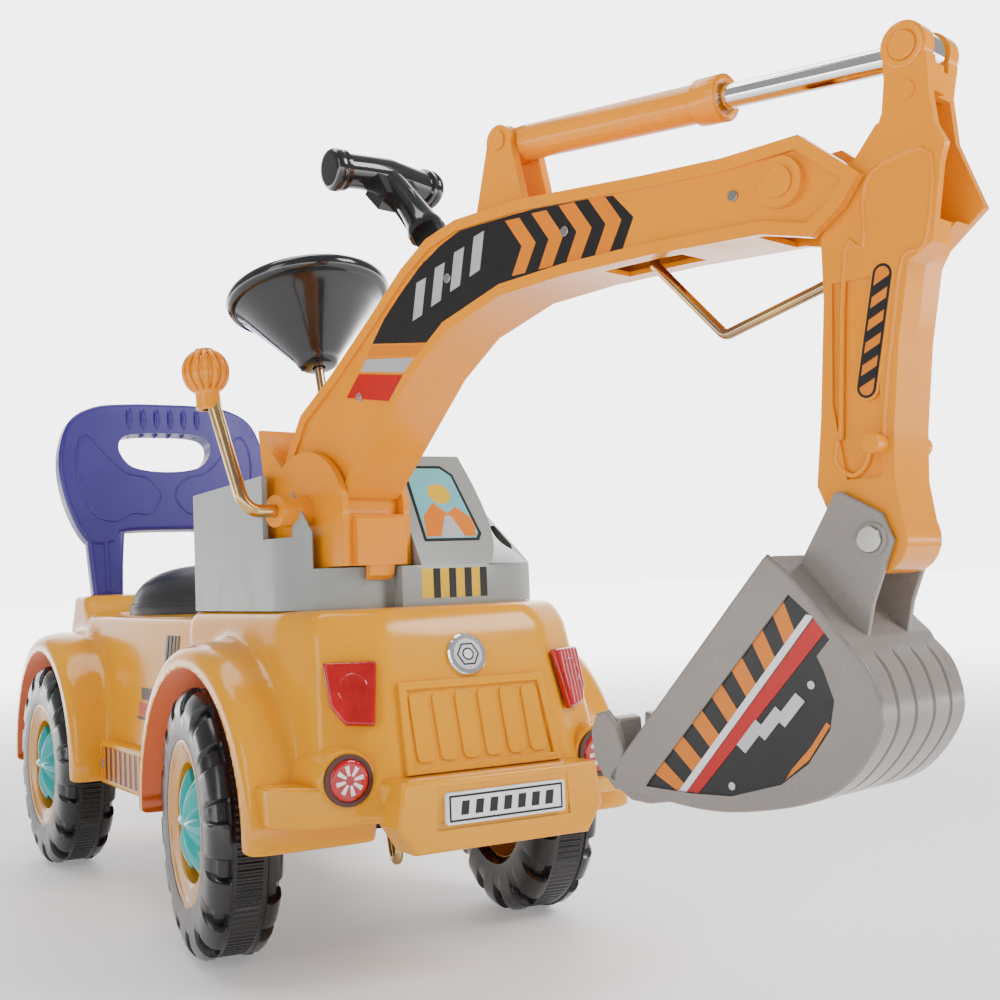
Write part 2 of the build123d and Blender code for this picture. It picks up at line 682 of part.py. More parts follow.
# Headlamps lie on the bonnet's chamfered corners, over a flat seat.
low_a, low_b, fold_a, fold_b = bonnet_low[0], bonnet_low[1], bonnet_fold[0], bonnet_fold[1]
lamp_share = 0.66
height_at_lamp = sill_z + lamp_share * (fold_z - sill_z)
corner_a = Vector(low_a[0] + lamp_share * (fold_a[0] - low_a[0]), low_a[1] + lamp_share * (fold_a[1] - low_a[1]), height_at_lamp)
corner_b = Vector(low_b[0] + lamp_share * (fold_b[0] - low_b[0]), low_b[1] + lamp_share * (fold_b[1] - low_b[1]), height_at_lamp)
fold_middle = Vector((fold_a[0] + fold_b[0]) / 2, (fold_a[1] + fold_b[1]) / 2, fold_z)
lamp_middle = (corner_a + corner_b) / 2
lamp_across = (corner_b - corner_a).normalized()
lamp_out = lamp_across.cross(fold_middle - lamp_middle).normalized()
lamp_out = lamp_out if lamp_out.Y < 0 else lamp_out * -1
for side, name in ((1, "left"), (-1, "right")):
    seat_plane = Plane(origin=(side * lamp_middle.X, lamp_middle.Y, lamp_middle.Z),
                       x_dir=(side * lamp_across.X, lamp_across.Y, lamp_across.Z),
                       z_dir=(side * lamp_out.X, lamp_out.Y, lamp_out.Z))
    up = 1 if seat_plane.y_dir.Z > 0 else -1
    with BuildPart() as headlamp:
        with BuildSketch(seat_plane.offset(1.5)):
            with BuildLine():
                Polyline((-18, up * 21), (17, up * 21), (12, up * -8), (2, up * -20), (-17, up * -21), close=True)
            make_face()
        extrude(amount=6)
        fillet(headlamp.faces().sort_by(Axis((0, 0, 0), (side * lamp_out.X, lamp_out.Y, lamp_out.Z)))[-1].edges(), 2.5)
    save(headlamp.part, f"headlamp_{name}")

# Cross-head screws that hold the running boards.
screw_radius, screw_head = 4.0, 2.0
with BuildPart() as body_screws:
    for side in (-1, 1):
        for screw_y in (step_front + 10, step_back - 12):
            with BuildSketch(Plane(origin=(side * step_half, screw_y, floor_z + 20), z_dir=(side, 0, 0))):
                Circle(screw_radius)
            extrude(amount=screw_head)
save(body_screws.part, "body_screws")

# ---------------------------------------------------------------- yoke
cheek_thickness = 5.5
cheek_inner = boom_width / 2 + part_gap
cheek_outer = cheek_inner + cheek_thickness
turntable_low = deck_z + floor_thickness + 0.3
turntable_high = turntable_low + 7
lever_radius = 4.5
boss_end = 56.0
cheek_radius = 41.0
block_front = 54.0
well_floor_radius = turntable_radius - console_wall - 2
with BuildPart() as yoke:
    with BuildSketch(Plane.XY.offset(turntable_low)):
        with Locations((swing_x, swing_y)):
            Circle(well_floor_radius)
    extrude(amount=turntable_high - turntable_low)
    for low, high in ((cheek_inner, cheek_outer), (-cheek_outer, -cheek_inner)):
        with BuildSketch(arm_plane(low)):
            with BuildLine():
                Polyline((-30, turntable_high), (30, turntable_high), (30, sill_top + 1), (46, sill_top + 1), (46, tilt_pivot[1]),
                         (tilt_pivot[0], tilt_pivot[1] + 4), (-44, 372), (-38, 330), close=True)
            make_face()
            with Locations(tilt_pivot):
                Circle(cheek_radius)
            Rectangle(200, 2 * turntable_high, mode=Mode.SUBTRACT)
        extrude(amount=high - low)
    # back wall between the cheeks
    with BuildSketch(arm_plane(-cheek_outer)):
        with BuildLine():
            Polyline((-30, turntable_high), (-38, 330), (-44, 372), (-39, 372), (-33, 331), (-25, turntable_high), close=True)
        make_face()
    extrude(amount=2 * cheek_outer)
    # stepped front block with its lip over the sill
    with BuildSketch(arm_plane(-22)):
        with BuildLine():
            Polyline((48, sill_top + 1), (block_front, sill_top + 1), (block_front, 304), (block_front - 4, 307), (48, 307), close=True)
        make_face()
    extrude(amount=44)
    with BuildSketch(arm_plane(-cheek_outer)):
        with BuildLine():
            Polyline((44, sill_top + 1), (49, sill_top + 1), (49, 307), (44, 307), close=True)
        make_face()
    extrude(amount=2 * cheek_outer)
    with BuildSketch(arm_plane(-11)):
        with BuildLine():
            Polyline((turntable_radius + 1.5, sill_top - 9), (turntable_radius + 5, sill_top - 6), (block_front, sill_top + 3),
                     (turntable_radius + 1.5, sill_top + 3), close=True)
        make_face()
    extrude(amount=22)
    # bearing boss for the lever
    with BuildSketch(arm_plane(cheek_inner)):
        with Locations(tilt_pivot):
            Circle(11)
    extrude(amount=boss_end - cheek_inner)
    with BuildSketch(arm_plane(-cheek_outer - 1)):
        with Locations(tilt_pivot):
            Circle(lever_radius + running_clearance)
    extrude(amount=boss_end + cheek_outer + 2, mode=Mode.SUBTRACT)
    with BuildSketch(Plane.XY.offset(turntable_low)):
        with Locations((swing_x, swing_y)):
            Circle(swing_hole)
    extrude(amount=10, mode=Mode.SUBTRACT)
save(yoke.part, "yoke")

with BuildPart() as swing_bolt:
    for low in (turntable_high + 0.3, fold_z - shell_wall - 4):
        with BuildSketch(Plane.XY.offset(low)):
            with Locations((swing_x, swing_y)):
                Circle(10)
        extrude(amount=4)
    with BuildSketch(Plane.XY.offset(fold_z - 12)):
        with Locations((swing_x, swing_y)):
            Circle(axle_radius)
    extrude(amount=turntable_high + 1 - fold_z + 12)
save(swing_bolt.part, "swing_bolt")

# ---------------------------------------------------------------- boom
boom_under = [(44, 318), (90, 366), (116, 393), (149, 416), (198, 431), (250, 434), (313, 434), (385, 431), (414, 424)]
boom_end = [(432, 436), (443, 450)]
boom_over = [(410, 477), (363, 476), (309, 479), (217, 486), (160, 485), (133, 478), (108, 463), (80, 440), (33, 403), (-2, 379),
             (-26, 340)]
boom_half = boom_width / 2
rim_depth, rim_border = 2.5, 7.0
boom_panel = boom_half - rim_depth
fork_inner = stick_width / 2 + 1.0
fork_start = 380.0
pin_radius = 4.0
thin_pin_radius = 3.5
lug_inner, lug_outer = 9.0, 15.0


def outline_face(points, inset, rounds):
    """Face inside an outline, joined to rounded ends, all drawn in by one inset."""
    with BuildSketch() as outline:
        with BuildLine():
            Polyline(points, close=True)
        make_face()
        if inset:
            offset(amount=-inset, kind=Kind.INTERSECTION, mode=Mode.REPLACE)
        for centre, size in rounds:
            with Locations(centre):
                Circle(size - inset)
    return outline


boom_outline = boom_under + boom_end + boom_over
boom_foot = [(tilt_pivot, 34.0)]
boom_side = outline_face(boom_outline, 0, boom_foot)
boom_field = outline_face(boom_outline, rim_border, boom_foot)
boom_hollow = outline_face(boom_outline, boom_wall, boom_foot)
with BuildSketch() as fork_cheek:
    add(boom_side.sketch)
    with Locations((fork_start - 400, 400)):
        Rectangle(800, 1000, mode=Mode.SUBTRACT)

for side, name in ((-1, "boom_shell_left"), (1, "boom_shell_right")):
    with BuildPart() as boom:
        with BuildSketch(arm_plane(0)):
            add(boom_side.sketch)
        extrude(amount=side * boom_half)
        with BuildSketch(arm_plane(side * boom_panel)):
            add(boom_field.sketch)
        extrude(amount=side * boom_half, mode=Mode.SUBTRACT)
        with BuildSketch(arm_plane(0)):
            add(boom_hollow.sketch)
        extrude(amount=side * (boom_panel - boom_wall), mode=Mode.SUBTRACT)
        # inner bosses round the lever and the handle's pins
        with BuildSketch(arm_plane(0)):
            with Locations(tilt_pivot):
                Circle(10)
        extrude(amount=side * (boom_panel - 1))
        with BuildSketch(arm_plane(side * 4)):
            with Locations(handle_pivot):
                Circle(8)
        extrude(amount=side * (boom_panel - 5))
        # open fork at the tip, with thicker cheeks
        with BuildSketch(arm_plane(side * fork_inner)):
            add(fork_cheek.sketch)
        extrude(amount=side * (boom_panel - fork_inner))
        with BuildSketch(arm_plane(0)):
            with Locations((fork_start + 60, 450)):
                Rectangle(120, 140)
        extrude(amount=side * fork_inner, mode=Mode.SUBTRACT)
        # round boss outside the stick's pin, and the cylinder's lug
        with BuildSketch(arm_plane(side * boom_panel)):
            with Locations(stick_pivot):
                Circle(13)
        extrude(amount=side * 5)
        with BuildSketch(arm_plane(side * lug_inner)):
            with BuildLine():
                Polyline((170, 484), (212, 484), (202, 527), (182, 527), close=True)
            make_face()
            with Locations(barrel_pivot):
                Circle(10)
        extrude(amount=side * (lug_outer - lug_inner))
        # ways through: lever, pins, link slot, handle slot
        with BuildSketch(arm_plane(0)):
            with Locations(tilt_pivot):
                Circle(lever_radius)
            with Locations(stick_pivot):
                Circle(pin_radius)
            with Locations(handle_pivot):
                Circle(3 + running_clearance)
            with Locations(barrel_pivot):
                Circle(thin_pin_radius)
        extrude(amount=side * (boom_half + 10), mode=Mode.SUBTRACT)
        with BuildSketch(arm_plane(0)):
            with Locations((298, 432)):
                Rectangle(56, 16)
            with BuildLine():
                Polyline((78, 456), (112, 440), (140, 468), (130, 500), (90, 504), close=True)
            make_face()
        extrude(amount=side * 12, mode=Mode.SUBTRACT)
    save(boom.part, name)

with BuildPart() as stick_pin:
    with BuildSketch(arm_plane(-boom_half - 2)):
        with Locations(stick_pivot):
            Circle(pin_radius)
    extrude(amount=boom_width + 4)
    for face_at, out in ((boom_half + 2.5, 1), (-boom_half - 2.5, -1)):
        with BuildSketch(arm_plane(face_at)):
            with Locations(stick_pivot):
                Circle(8)
        extrude(amount=out * 2)
    with BuildSketch(arm_plane(-boom_half - 3)):
        with Locations(stick_pivot):
            Circle(pin_radius)
    extrude(amount=boom_width + 6)
save(stick_pin.part, "stick_pin")

with BuildPart() as barrel_pin:
    with BuildSketch(arm_plane(-lug_outer)):
        with Locations(barrel_pivot):
            Circle(thin_pin_radius)
    extrude(amount=2 * lug_outer)
    for face_at, out in ((lug_outer, 1), (-lug_outer, -1)):
        with BuildSketch(arm_plane(face_at)):
            with Locations(barrel_pivot):
                Circle(6)
        extrude(amount=out * 2)
save(barrel_pin.part, "barrel_pin")

boom_screw_spots = [(368, 455), (250, 460), (150, 450), (60, 385)]
with BuildPart() as boom_screws:
    with BuildSketch(arm_plane(boom_panel)):
        with Locations(*boom_screw_spots):
            Circle(3)
    extrude(amount=1.2)
save(boom_screws.part, "boom_screws")

# ---------------------------------------------------------------- lever and handle


def arm_point(forward, height, sideways):
    """Point on the arm: forward, height, and sideways towards the lever."""
    return Vector(swing_x, swing_y, 0) + arm_forward * forward + arm_normal * sideways + Vector(0, 0, height)


lever_end = arm_point(-17, 392, 88)
lever_corner = arm_point(tilt_pivot[0], tilt_pivot[1], 80)
lever_up = (lever_end - lever_corner).normalized()
with BuildPart() as lever_rod:
    with BuildLine():
        lever_line = Polyline(arm_point(tilt_pivot[0], tilt_pivot[1], -boom_half), lever_corner, lever_end)
        fillet(lever_line.vertices().sort_by_distance(lever_corner)[0], 13)
    with BuildSketch(arm_plane(-boom_half)):
        with Locations(tilt_pivot):
            Circle(lever_radius)
    sweep()
save(lever_rod.part, "lever_rod")

knob_radius = 17.0
knob_centre = lever_end + lever_up * (knob_radius - 1)
with BuildPart() as lever_knob:
    with Locations(knob_centre):
        Sphere(knob_radius)
    with BuildSketch(Plane(origin=lever_end - lever_up * 10, z_dir=lever_up)):
        Circle(8)
    extrude(amount=14)
    with BuildSketch(Plane(origin=lever_end - lever_up * 20, z_dir=lever_up)):
        Circle(lever_radius)
    extrude(amount=20, mode=Mode.SUBTRACT)
    knob_plane = Plane(origin=knob_centre, z_dir=lever_up)
    with BuildSketch(knob_plane.offset(-knob_radius * 0.55)):
        Circle(knob_radius + 2)
        Circle(knob_radius - 3, mode=Mode.SUBTRACT)
        with PolarLocations(knob_radius, 8):
            Rectangle(16, 5, mode=Mode.SUBTRACT)
    extrude(amount=knob_radius * 1.1, mode=Mode.SUBTRACT)
save(lever_knob.part, "lever_knob")

grip_s, grip_z = 65.0, 537.0
grip_half, grip_radius = 46.0, 12.0
with BuildPart() as t_handle_grip:
    with BuildSketch(arm_plane(-grip_half)):
        with Locations((grip_s, grip_z)):
            Circle(grip_radius)
    extrude(amount=2 * grip_half)
    for start in (-grip_half, grip_half - 9):
        with BuildSketch(arm_plane(start)):
            with Locations((grip_s, grip_z)):
                Circle(grip_radius + 2.5)
        extrude(amount=9)
    chamfer(t_handle_grip.edges().filter_by(GeomType.CIRCLE).group_by(Axis((0, 0, 0), tuple(arm_normal)))[0], 1.5)
    chamfer(t_handle_grip.edges().filter_by(GeomType.CIRCLE).group_by(Axis((0, 0, 0), tuple(arm_normal)))[-1], 1.5)
save(t_handle_grip.part, "t_handle_grip")

stem_width = 7.0
with BuildPart() as t_handle_stem:
    with BuildSketch(arm_plane(-stem_width / 2)):
        with BuildLine():
            Polyline((grip_s + 1, grip_z - grip_radius), (grip_s + grip_radius, grip_z - 1), (grip_s + 32, 522), (122, 492),
                     (handle_pivot[0] + 6, handle_pivot[1] + 3), (handle_pivot[0] - 6, handle_pivot[1] - 3), (103, 482),
                     (grip_s + 18, 508), close=True)
        make_face()
        with Locations(handle_pivot):
            Circle(7)
        with Locations((grip_s, grip_z)):
            Circle(grip_radius, mode=Mode.SUBTRACT)
    extrude(amount=stem_width)
    with BuildSketch(arm_plane(-16)):
        with BuildLine():
            Polyline((grip_s + 1, grip_z - grip_radius - 2), (grip_s + grip_radius + 2, grip_z - 1), (grip_s + 24, 520),
                     (grip_s + 14, 510), close=True)
        make_face()
        with Locations((grip_s, grip_z)):
            Circle(grip_radius, mode=Mode.SUBTRACT)
    extrude(amount=32)
    with BuildSketch(arm_plane(-14)):
        with Locations(handle_pivot):
            Circle(3)
    extrude(amount=28)
save(t_handle_stem.part, "t_handle_stem")

# ---------------------------------------------------------------- cylinder
barrel_point, rod_point = arm_point(*barrel_pivot, 0), arm_point(*rod_pivot, 0)
cylinder_dir = (rod_point - barrel_point).normalized()
cylinder_length = (rod_point - barrel_point).length
barrel_radius, rod_radius, barrel_length = 11.0, 6.8, 160.0
eye_radius = 10.5
with BuildPart() as cylinder_barrel:
    with BuildSketch(Plane(origin=barrel_point + cylinder_dir * 12, z_dir=cylinder_dir)):
        Circle(barrel_radius)
    extrude(amount=barrel_length - 12)
    with BuildSketch(Plane(origin=barrel_point + cylinder_dir * (barrel_length - 16), z_dir=cylinder_dir)):
        Circle(barrel_radius + 2)
    extrude(amount=16)
    with BuildSketch(arm_plane(0.5 - lug_inner)):
        with Locations(barrel_pivot):
            Circle(eye_radius)
        with Locations((barrel_pivot[0] + 8, barrel_pivot[1] - 0.6)):
            Rectangle(16, 16)
    extrude(amount=2 * lug_inner - 1)
    with BuildSketch(Plane(origin=barrel_point + cylinder_dir * 22, z_dir=cylinder_dir)):
        Circle(rod_radius + running_clearance)
    extrude(amount=barrel_length, mode=Mode.SUBTRACT)
    with BuildSketch(arm_plane(-20)):
        with Locations(barrel_pivot):
            Circle(thin_pin_radius + running_clearance)
    extrude(amount=40, mode=Mode.SUBTRACT)
save(cylinder_barrel.part, "cylinder_barrel")

rod_hole = 7.0                 # slack eye, so the rod follows the stick freely
rod_start = 60.0
rod_eye_half = 6.0
with BuildPart() as cylinder_rod:
    with BuildSketch(Plane(origin=barrel_point + cylinder_dir * rod_start, z_dir=cylinder_dir)):
        Circle(rod_radius)
    extrude(amount=cylinder_length - rod_start - rod_hole - 1)
    with BuildSketch(arm_plane(-rod_eye_half)):
        with Locations(rod_pivot):
            Circle(eye_radius)
    extrude(amount=2 * rod_eye_half)
    with BuildSketch(arm_plane(-20)):
        with Locations(rod_pivot):
            Circle(rod_hole)
    extrude(amount=40, mode=Mode.SUBTRACT)
save(cylinder_rod.part, "cylinder_rod")

# ---------------------------------------------------------------- stick
stick_half = stick_width / 2
stick_recess = 2.0
stick_panel = stick_half - stick_recess
stick_wall = 3.0
stick_back = [(455, 507), (455, 493), (453, 478), (448, 467), (441, 457), (430, 440), (416, 424), (416, 393), (411, 333),
              (407, 300), (421, 266), (455, 268), (450, 300), (451, 325), (456, 368), (463, 404)]
# each half has its own gusset in front of the boom's pin
stick_fronts = {-1: [(468, 412), (489, 429), (476, 463), (474, 487), (477, 502)],
                1: [(476, 411), (482, 448), (485, 457), (480, 467), (478, 485), (478, 502)]}
link_eye = (425.0, 408.0)
peg_spot, peg_radius = (443.0, 318.0), 5.0
stick_room = [(460, 494), (458, 477), (451, 462), (434, 438), (420, 423), (420, 393), (415, 333), (411, 302), (424, 270),
              (451, 272), (446, 300), (447, 326), (452, 368), (459, 405), (464, 414), (470, 424), (472, 455), (470, 484),
              (472, 494)]
stick_ends = [(rod_pivot, 12.0), (bucket_pivot, 17.0)]
with BuildSketch() as stick_hollow:
    with BuildLine():
        Polyline(stick_room, close=True)
    make_face()
with BuildSketch() as stick_arm:
    with BuildLine():
        Polyline((399, 467), (436, 458), (450, 474), (456, 470), (443, 453), (430, 440), (399, 443), close=True)
    make_face()
    with Locations(stick_pivot):
        Circle(12)
with BuildSketch() as stick_field:
    with BuildLine():
        Polyline((421, 400), (446, 400), (444, 330), (443, 302), (424, 302), (418, 340), close=True)
    make_face()

for side, name in ((-1, "stick_shell_left"), (1, "stick_shell_right")):
    stick_side = outline_face(stick_back + stick_fronts[side], 0, stick_ends)
    with BuildPart() as stick:
        with BuildSketch(arm_plane(0)):
            add(stick_side.sketch)
        extrude(amount=side * stick_half)
        with BuildSketch(arm_plane(0)):
            add(stick_hollow.sketch)
        extrude(amount=side * (stick_panel - stick_wall), mode=Mode.SUBTRACT)
        with BuildSketch(arm_plane(side * stick_panel)):
            add(stick_field.sketch)
        extrude(amount=side * stick_half, mode=Mode.SUBTRACT)
        # arm hidden in the boom's fork
        with BuildSketch(arm_plane(0)):
            add(stick_arm.sketch)
        extrude(amount=side * stick_half)
        # open front between the gussets
        with BuildSketch(arm_plane(0)):
            with BuildLine():
                Polyline((467, 422), (500, 422), (500, 484), (467, 484), close=True)
            make_face()
        extrude(amount=side * (stick_panel - stick_wall), mode=Mode.SUBTRACT)
        # cheeks at the rod's eye, bosses at the bucket and the link
        with BuildSketch(arm_plane(side * 8)):
            with Locations(rod_pivot):
                Circle(12)
        extrude(amount=side * (stick_half - 9))
        with BuildSketch(arm_plane(0)):
            with Locations(bucket_pivot):
                Circle(10)
        extrude(amount=side * (stick_half - 1))
        with BuildSketch(arm_plane(0)):
            with Locations(link_eye):
                Circle(2.5)
        extrude(amount=side * (stick_half - 1))
        # open slots for the rod and the link
        with BuildSketch(arm_plane(0)):
            with BuildLine():
                Polyline((440, 497), (470, 492), (480, 500), (480, 530), (440, 530), close=True)
            make_face()
        extrude(amount=side * 8, mode=Mode.SUBTRACT)
        with BuildSketch(arm_plane(0)):
            with Locations((414, 407)):
                Rectangle(12, 20)
        extrude(amount=side * 5, mode=Mode.SUBTRACT)
        # small boss under the eye
        with BuildSketch(arm_plane(side * stick_half)):
            with Locations((466, 486)):
                Circle(5)
        extrude(amount=side * 1.2)
        with BuildSketch(arm_plane(0)):
            with Locations(stick_pivot, bucket_pivot):
                Circle(pin_radius + running_clearance)
            with Locations(rod_pivot):
                Circle(thin_pin_radius)
            with Locations(peg_spot):
                Circle(peg_radius)
        extrude(amount=side * (stick_half + 10), mode=Mode.SUBTRACT)
    save(stick.part, name)

with BuildPart() as rod_pin:
    with BuildSketch(arm_plane(-stick_half)):
        with Locations(rod_pivot):
            Circle(thin_pin_radius)
    extrude(amount=stick_width)
    for face_at, out in ((stick_half, 1), (-stick_half, -1)):
        with BuildSketch(arm_plane(face_at)):
            with Locations(rod_pivot):
                Circle(7)
        extrude(amount=out * 2)
save(rod_pin.part, "rod_pin")

with BuildPart() as stick_peg:
    with BuildSketch(arm_plane(-stick_half - 10)):
        with Locations(peg_spot):
            Circle(peg_radius)
    extrude(amount=stick_width + 20)
save(stick_peg.part, "stick_peg")

with BuildPart() as pull_link:
    with BuildLine():
        link_line = Polyline(arm_point(298, 448, 0), arm_point(298, 434, 0), arm_point(344, 387, 0), arm_point(*link_eye, 0))
        link_corner = link_line.vertices().sort_by(Axis.Z)[0]
        fillet(link_corner, 6)
    with BuildSketch(Plane(origin=arm_point(298, 448, 0), z_dir=(0, 0, -1))):
        Circle(3)
    sweep(transition=Transition.ROUND)
    with BuildSketch(arm_plane(-3)):
        with Locations(link_eye):
            Circle(6)
    extrude(amount=6)
    with BuildSketch(arm_plane(-8)):
        with Locations(link_eye):
            Circle(2.5 + running_clearance)
    extrude(amount=16, mode=Mode.SUBTRACT)
save(pull_link.part, "pull_link")

# ---------------------------------------------------------------- bucket
bucket_half = bucket_width / 2
bucket_wall = 3.5
ear_inner, ear_outer = stick_half + part_gap, stick_half + part_gap + 4
bucket_back = [(345, 137), (369, 138), (404, 144), (426, 153), (443, 170), (451, 188), (447, 210), (434, 223), (406, 254)]
bucket_mouth = [(394, 266), (312, 146)]
with BuildSketch() as bucket_side:
    with BuildLine():
        Polyline(bucket_back + bucket_mouth, close=True)
    make_face()
with BuildSketch() as bucket_inside:
    add(bucket_side.sketch)
    offset(amount=-bucket_wall, kind=Kind.INTERSECTION, mode=Mode.REPLACE)
    with BuildLine():
        Polyline((398, 262), (404, 251), (350, 143), (318, 141), (280, 120), (250, 220), (380, 300), close=True)
    make_face()
with BuildPart() as bucket:
    with BuildSketch(arm_plane(-bucket_half)):
        add(bucket_side.sketch)
    extrude(amount=bucket_width)
    with BuildSketch(arm_plane(bucket_wall - bucket_half)):
        add(bucket_inside.sketch)
    extrude(amount=bucket_width - 2 * bucket_wall, mode=Mode.SUBTRACT)
    # ears that take the stick between them
    for start in (ear_inner, -ear_outer):
        with BuildSketch(arm_plane(start)):
            with BuildLine():
                Polyline((420, 295), (442, 284), (449, 269), (436, 240), (433, 221.5), (404, 252), (398, 263), close=True)
            make_face()
        extrude(amount=ear_outer - ear_inner)
    with BuildSketch(arm_plane(-bucket_half)):
        with Locations(bucket_pivot):
            Circle(pin_radius)
    extrude(amount=bucket_width, mode=Mode.SUBTRACT)
save(bucket.part, "bucket")

tooth_width, tooth_pitch = 20.0, 29.0
lip_share = 0.4                # how far the teeth reach along the bucket's bottom
tooth_root = tuple(m + lip_share * (b - m) for m, b in zip(bucket_mouth[-1], bucket_back[0]))
with BuildPart() as bucket_teeth:
    for shift in (-tooth_pitch, 0, tooth_pitch):
        with BuildSketch(arm_plane(shift - tooth_width / 2)):
            with BuildLine():
                Polyline(tooth_root, bucket_mouth[-1], (299, 149), (291, 155), (290, 181), (284, 183), (282, 147), (296, 138),
                         (308, 137), (321, 139), close=True)
            make_face()
        extrude(amount=tooth_width)
save(bucket_teeth.part, "bucket_teeth")

with BuildPart() as bucket_bolt:
    with BuildSketch(arm_plane(-ear_outer)):
        with Locations(bucket_pivot):
            Circle(pin_radius)
    extrude(amount=2 * ear_outer)
    for face_at, out in ((ear_outer, 1), (-ear_outer, -1)):
        with BuildSketch(arm_plane(face_at)):
            with Locations(bucket_pivot):
                Circle(6.5)
        extrude(amount=out * 3)
save(bucket_bolt.part, "bucket_bolt")
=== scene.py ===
import bpy
import bmesh
import json
from math import atan2, cos, pi, radians, sin
from mathutils import Matrix, Vector


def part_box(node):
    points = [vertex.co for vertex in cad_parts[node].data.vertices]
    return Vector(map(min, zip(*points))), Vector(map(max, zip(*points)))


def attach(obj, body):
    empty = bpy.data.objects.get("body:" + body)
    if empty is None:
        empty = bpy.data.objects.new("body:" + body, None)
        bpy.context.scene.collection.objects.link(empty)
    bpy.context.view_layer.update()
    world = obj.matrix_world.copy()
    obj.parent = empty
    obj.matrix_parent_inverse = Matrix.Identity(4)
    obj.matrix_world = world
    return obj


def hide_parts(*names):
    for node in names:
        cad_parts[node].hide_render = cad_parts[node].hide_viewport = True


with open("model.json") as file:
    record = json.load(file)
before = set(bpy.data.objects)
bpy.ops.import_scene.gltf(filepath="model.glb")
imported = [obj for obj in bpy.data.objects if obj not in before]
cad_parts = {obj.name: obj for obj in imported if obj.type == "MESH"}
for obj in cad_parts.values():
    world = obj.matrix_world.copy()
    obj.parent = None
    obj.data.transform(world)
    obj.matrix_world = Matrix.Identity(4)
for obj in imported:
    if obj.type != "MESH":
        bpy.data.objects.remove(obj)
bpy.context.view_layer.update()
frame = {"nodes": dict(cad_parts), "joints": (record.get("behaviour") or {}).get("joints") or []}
hinges = {joint["name"]: joint for joint in frame["joints"]}
UP = Vector((0, 0, 1))
MM = 0.001


# ------------------------------------------------------------------ drawing planes
class Sheet:
    """A flat drawing sheet in the toy's space: millimetres right, up and out."""

    def __init__(self, origin, right, up):
        self.origin = Vector(origin)
        self.right = Vector(right).normalized()
        self.out = self.right.cross(Vector(up)).normalized()
        self.up = self.out.cross(self.right)

    def at(self, across, height, out=0.0):
        return self.origin + (self.right * across + self.up * height + self.out * out) * MM


def reach(node):
    """How far a node on the arm stands out from the arm's middle sheet, in millimetres."""
    points = [frame["nodes"][node].matrix_world @ vert.co for vert in frame["nodes"][node].data.vertices]
    return max(abs((point - arm.origin).dot(arm.out)) for point in points) / MM


def middle(node):
    low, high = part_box(node)
    return (low + high) / 2


# The digging arm is drawn on one upright sheet through the swing bolt:
# right is forward along the boom, out is towards the lever. The other sheet is its back.
bolt = middle("swing_bolt")
lever_side = Vector(hinges["boom_tilt"]["axis"])
arm = Sheet((bolt.x, bolt.y, 0), UP.cross(lever_side), UP)
arm_back = Sheet(arm.origin, -arm.right, UP)
arm_sides = (("right", arm, 1), ("left", arm_back, -1))

# The rod pin's head stands proud of the stick's face, the printed panel is sunk in it,
# and the bucket's ears run clear outside it.
pin_proud, panel_sunk, ear_gap = 2, 2, 0.5
stick_half = reach("rod_pin") - pin_proud
stick_panel = stick_half - panel_sunk
ear_inner = stick_half + ear_gap


# ------------------------------------------------------------------ finishes
def rgb(red, green, blue):
    return (red, green, blue, 1.0)


class Amount:
    """A value in a node tree: writing sums with it adds the maths nodes."""

    def __init__(self, nodes, socket):
        self.nodes = nodes
        self.socket = socket

    def maths(self, operation, first, second):
        return self.nodes.node("ShaderNodeMath", {"operation": operation}, {0: first, 1: second})

    def __add__(self, other):
        return self.maths("ADD", self, other)

    def __radd__(self, other):
        return self.maths("ADD", other, self)

    def __sub__(self, other):
        return self.maths("SUBTRACT", self, other)

    def __rsub__(self, other):
        return self.maths("SUBTRACT", other, self)

    def __mul__(self, other):
        return self.maths("MULTIPLY", self, other)

    def __rmul__(self, other):
        return self.maths("MULTIPLY", other, self)


class Nodes:
    """A node tree whose nodes all come from one method."""

    def __init__(self, tree):
        self.tree = tree

    def node(self, kind, settings=None, inputs=None, output=0):
        made = self.tree.nodes.new(kind)
        for key, value in (settings or {}).items():
            if key == "stops":
                ramp = made.color_ramp
                while len(ramp.elements) < len(value):
                    ramp.elements.new(1.0)
                for element, (place, colour) in zip(ramp.elements, value):
                    element.position = place
                    element.color = colour
            else:
                setattr(made, key, value)
        for key, value in (inputs or {}).items():
            if isinstance(value, Amount):
                self.tree.links.new(value.socket, made.inputs[key])
            else:
                made.inputs[key].default_value = value
        return Amount(self, made.outputs[output])


class Finish(Nodes):
    """One material, built on a single Principled shader."""

    def __init__(self, name, **constants):
        self.material = bpy.data.materials.new(name)
        self.material.use_nodes = True
        super().__init__(self.material.node_tree)
        self.shader = next(n for n in self.tree.nodes if n.type == "BSDF_PRINCIPLED")
        for key, value in constants.items():
            self.shader.inputs[key.replace("_", " ")].default_value = value

    def feed(self, name, amount):
        self.tree.links.new(amount.socket, self.shader.inputs[name])

    def place(self):
        return self.node("ShaderNodeTexCoord", output="Object")

    def noise(self, scale, detail=3.0, rough=0.5):
        return self.node("ShaderNodeTexNoise", {}, {"Vector": self.place(), "Scale": scale, "Detail": detail,
                                                    "Roughness": rough})

    def rise(self, amount, low, high):
        """Black where an amount is under one level, white where it is over another."""
        return self.node("ShaderNodeValToRGB", {"stops": [(low, rgb(0, 0, 0)), (high, rgb(1, 1, 1))]},
                         {0: amount})

    def blend(self, share, first, second):
        return self.node("ShaderNodeMix", {"data_type": "RGBA"}, {0: share, 6: first, 7: second}, output=2)

    def relief(self, height, strength, distance):
        bump = self.node("ShaderNodeBump", {}, {"Height": height, "Strength": strength, "Distance": distance})
        self.feed("Normal", bump)


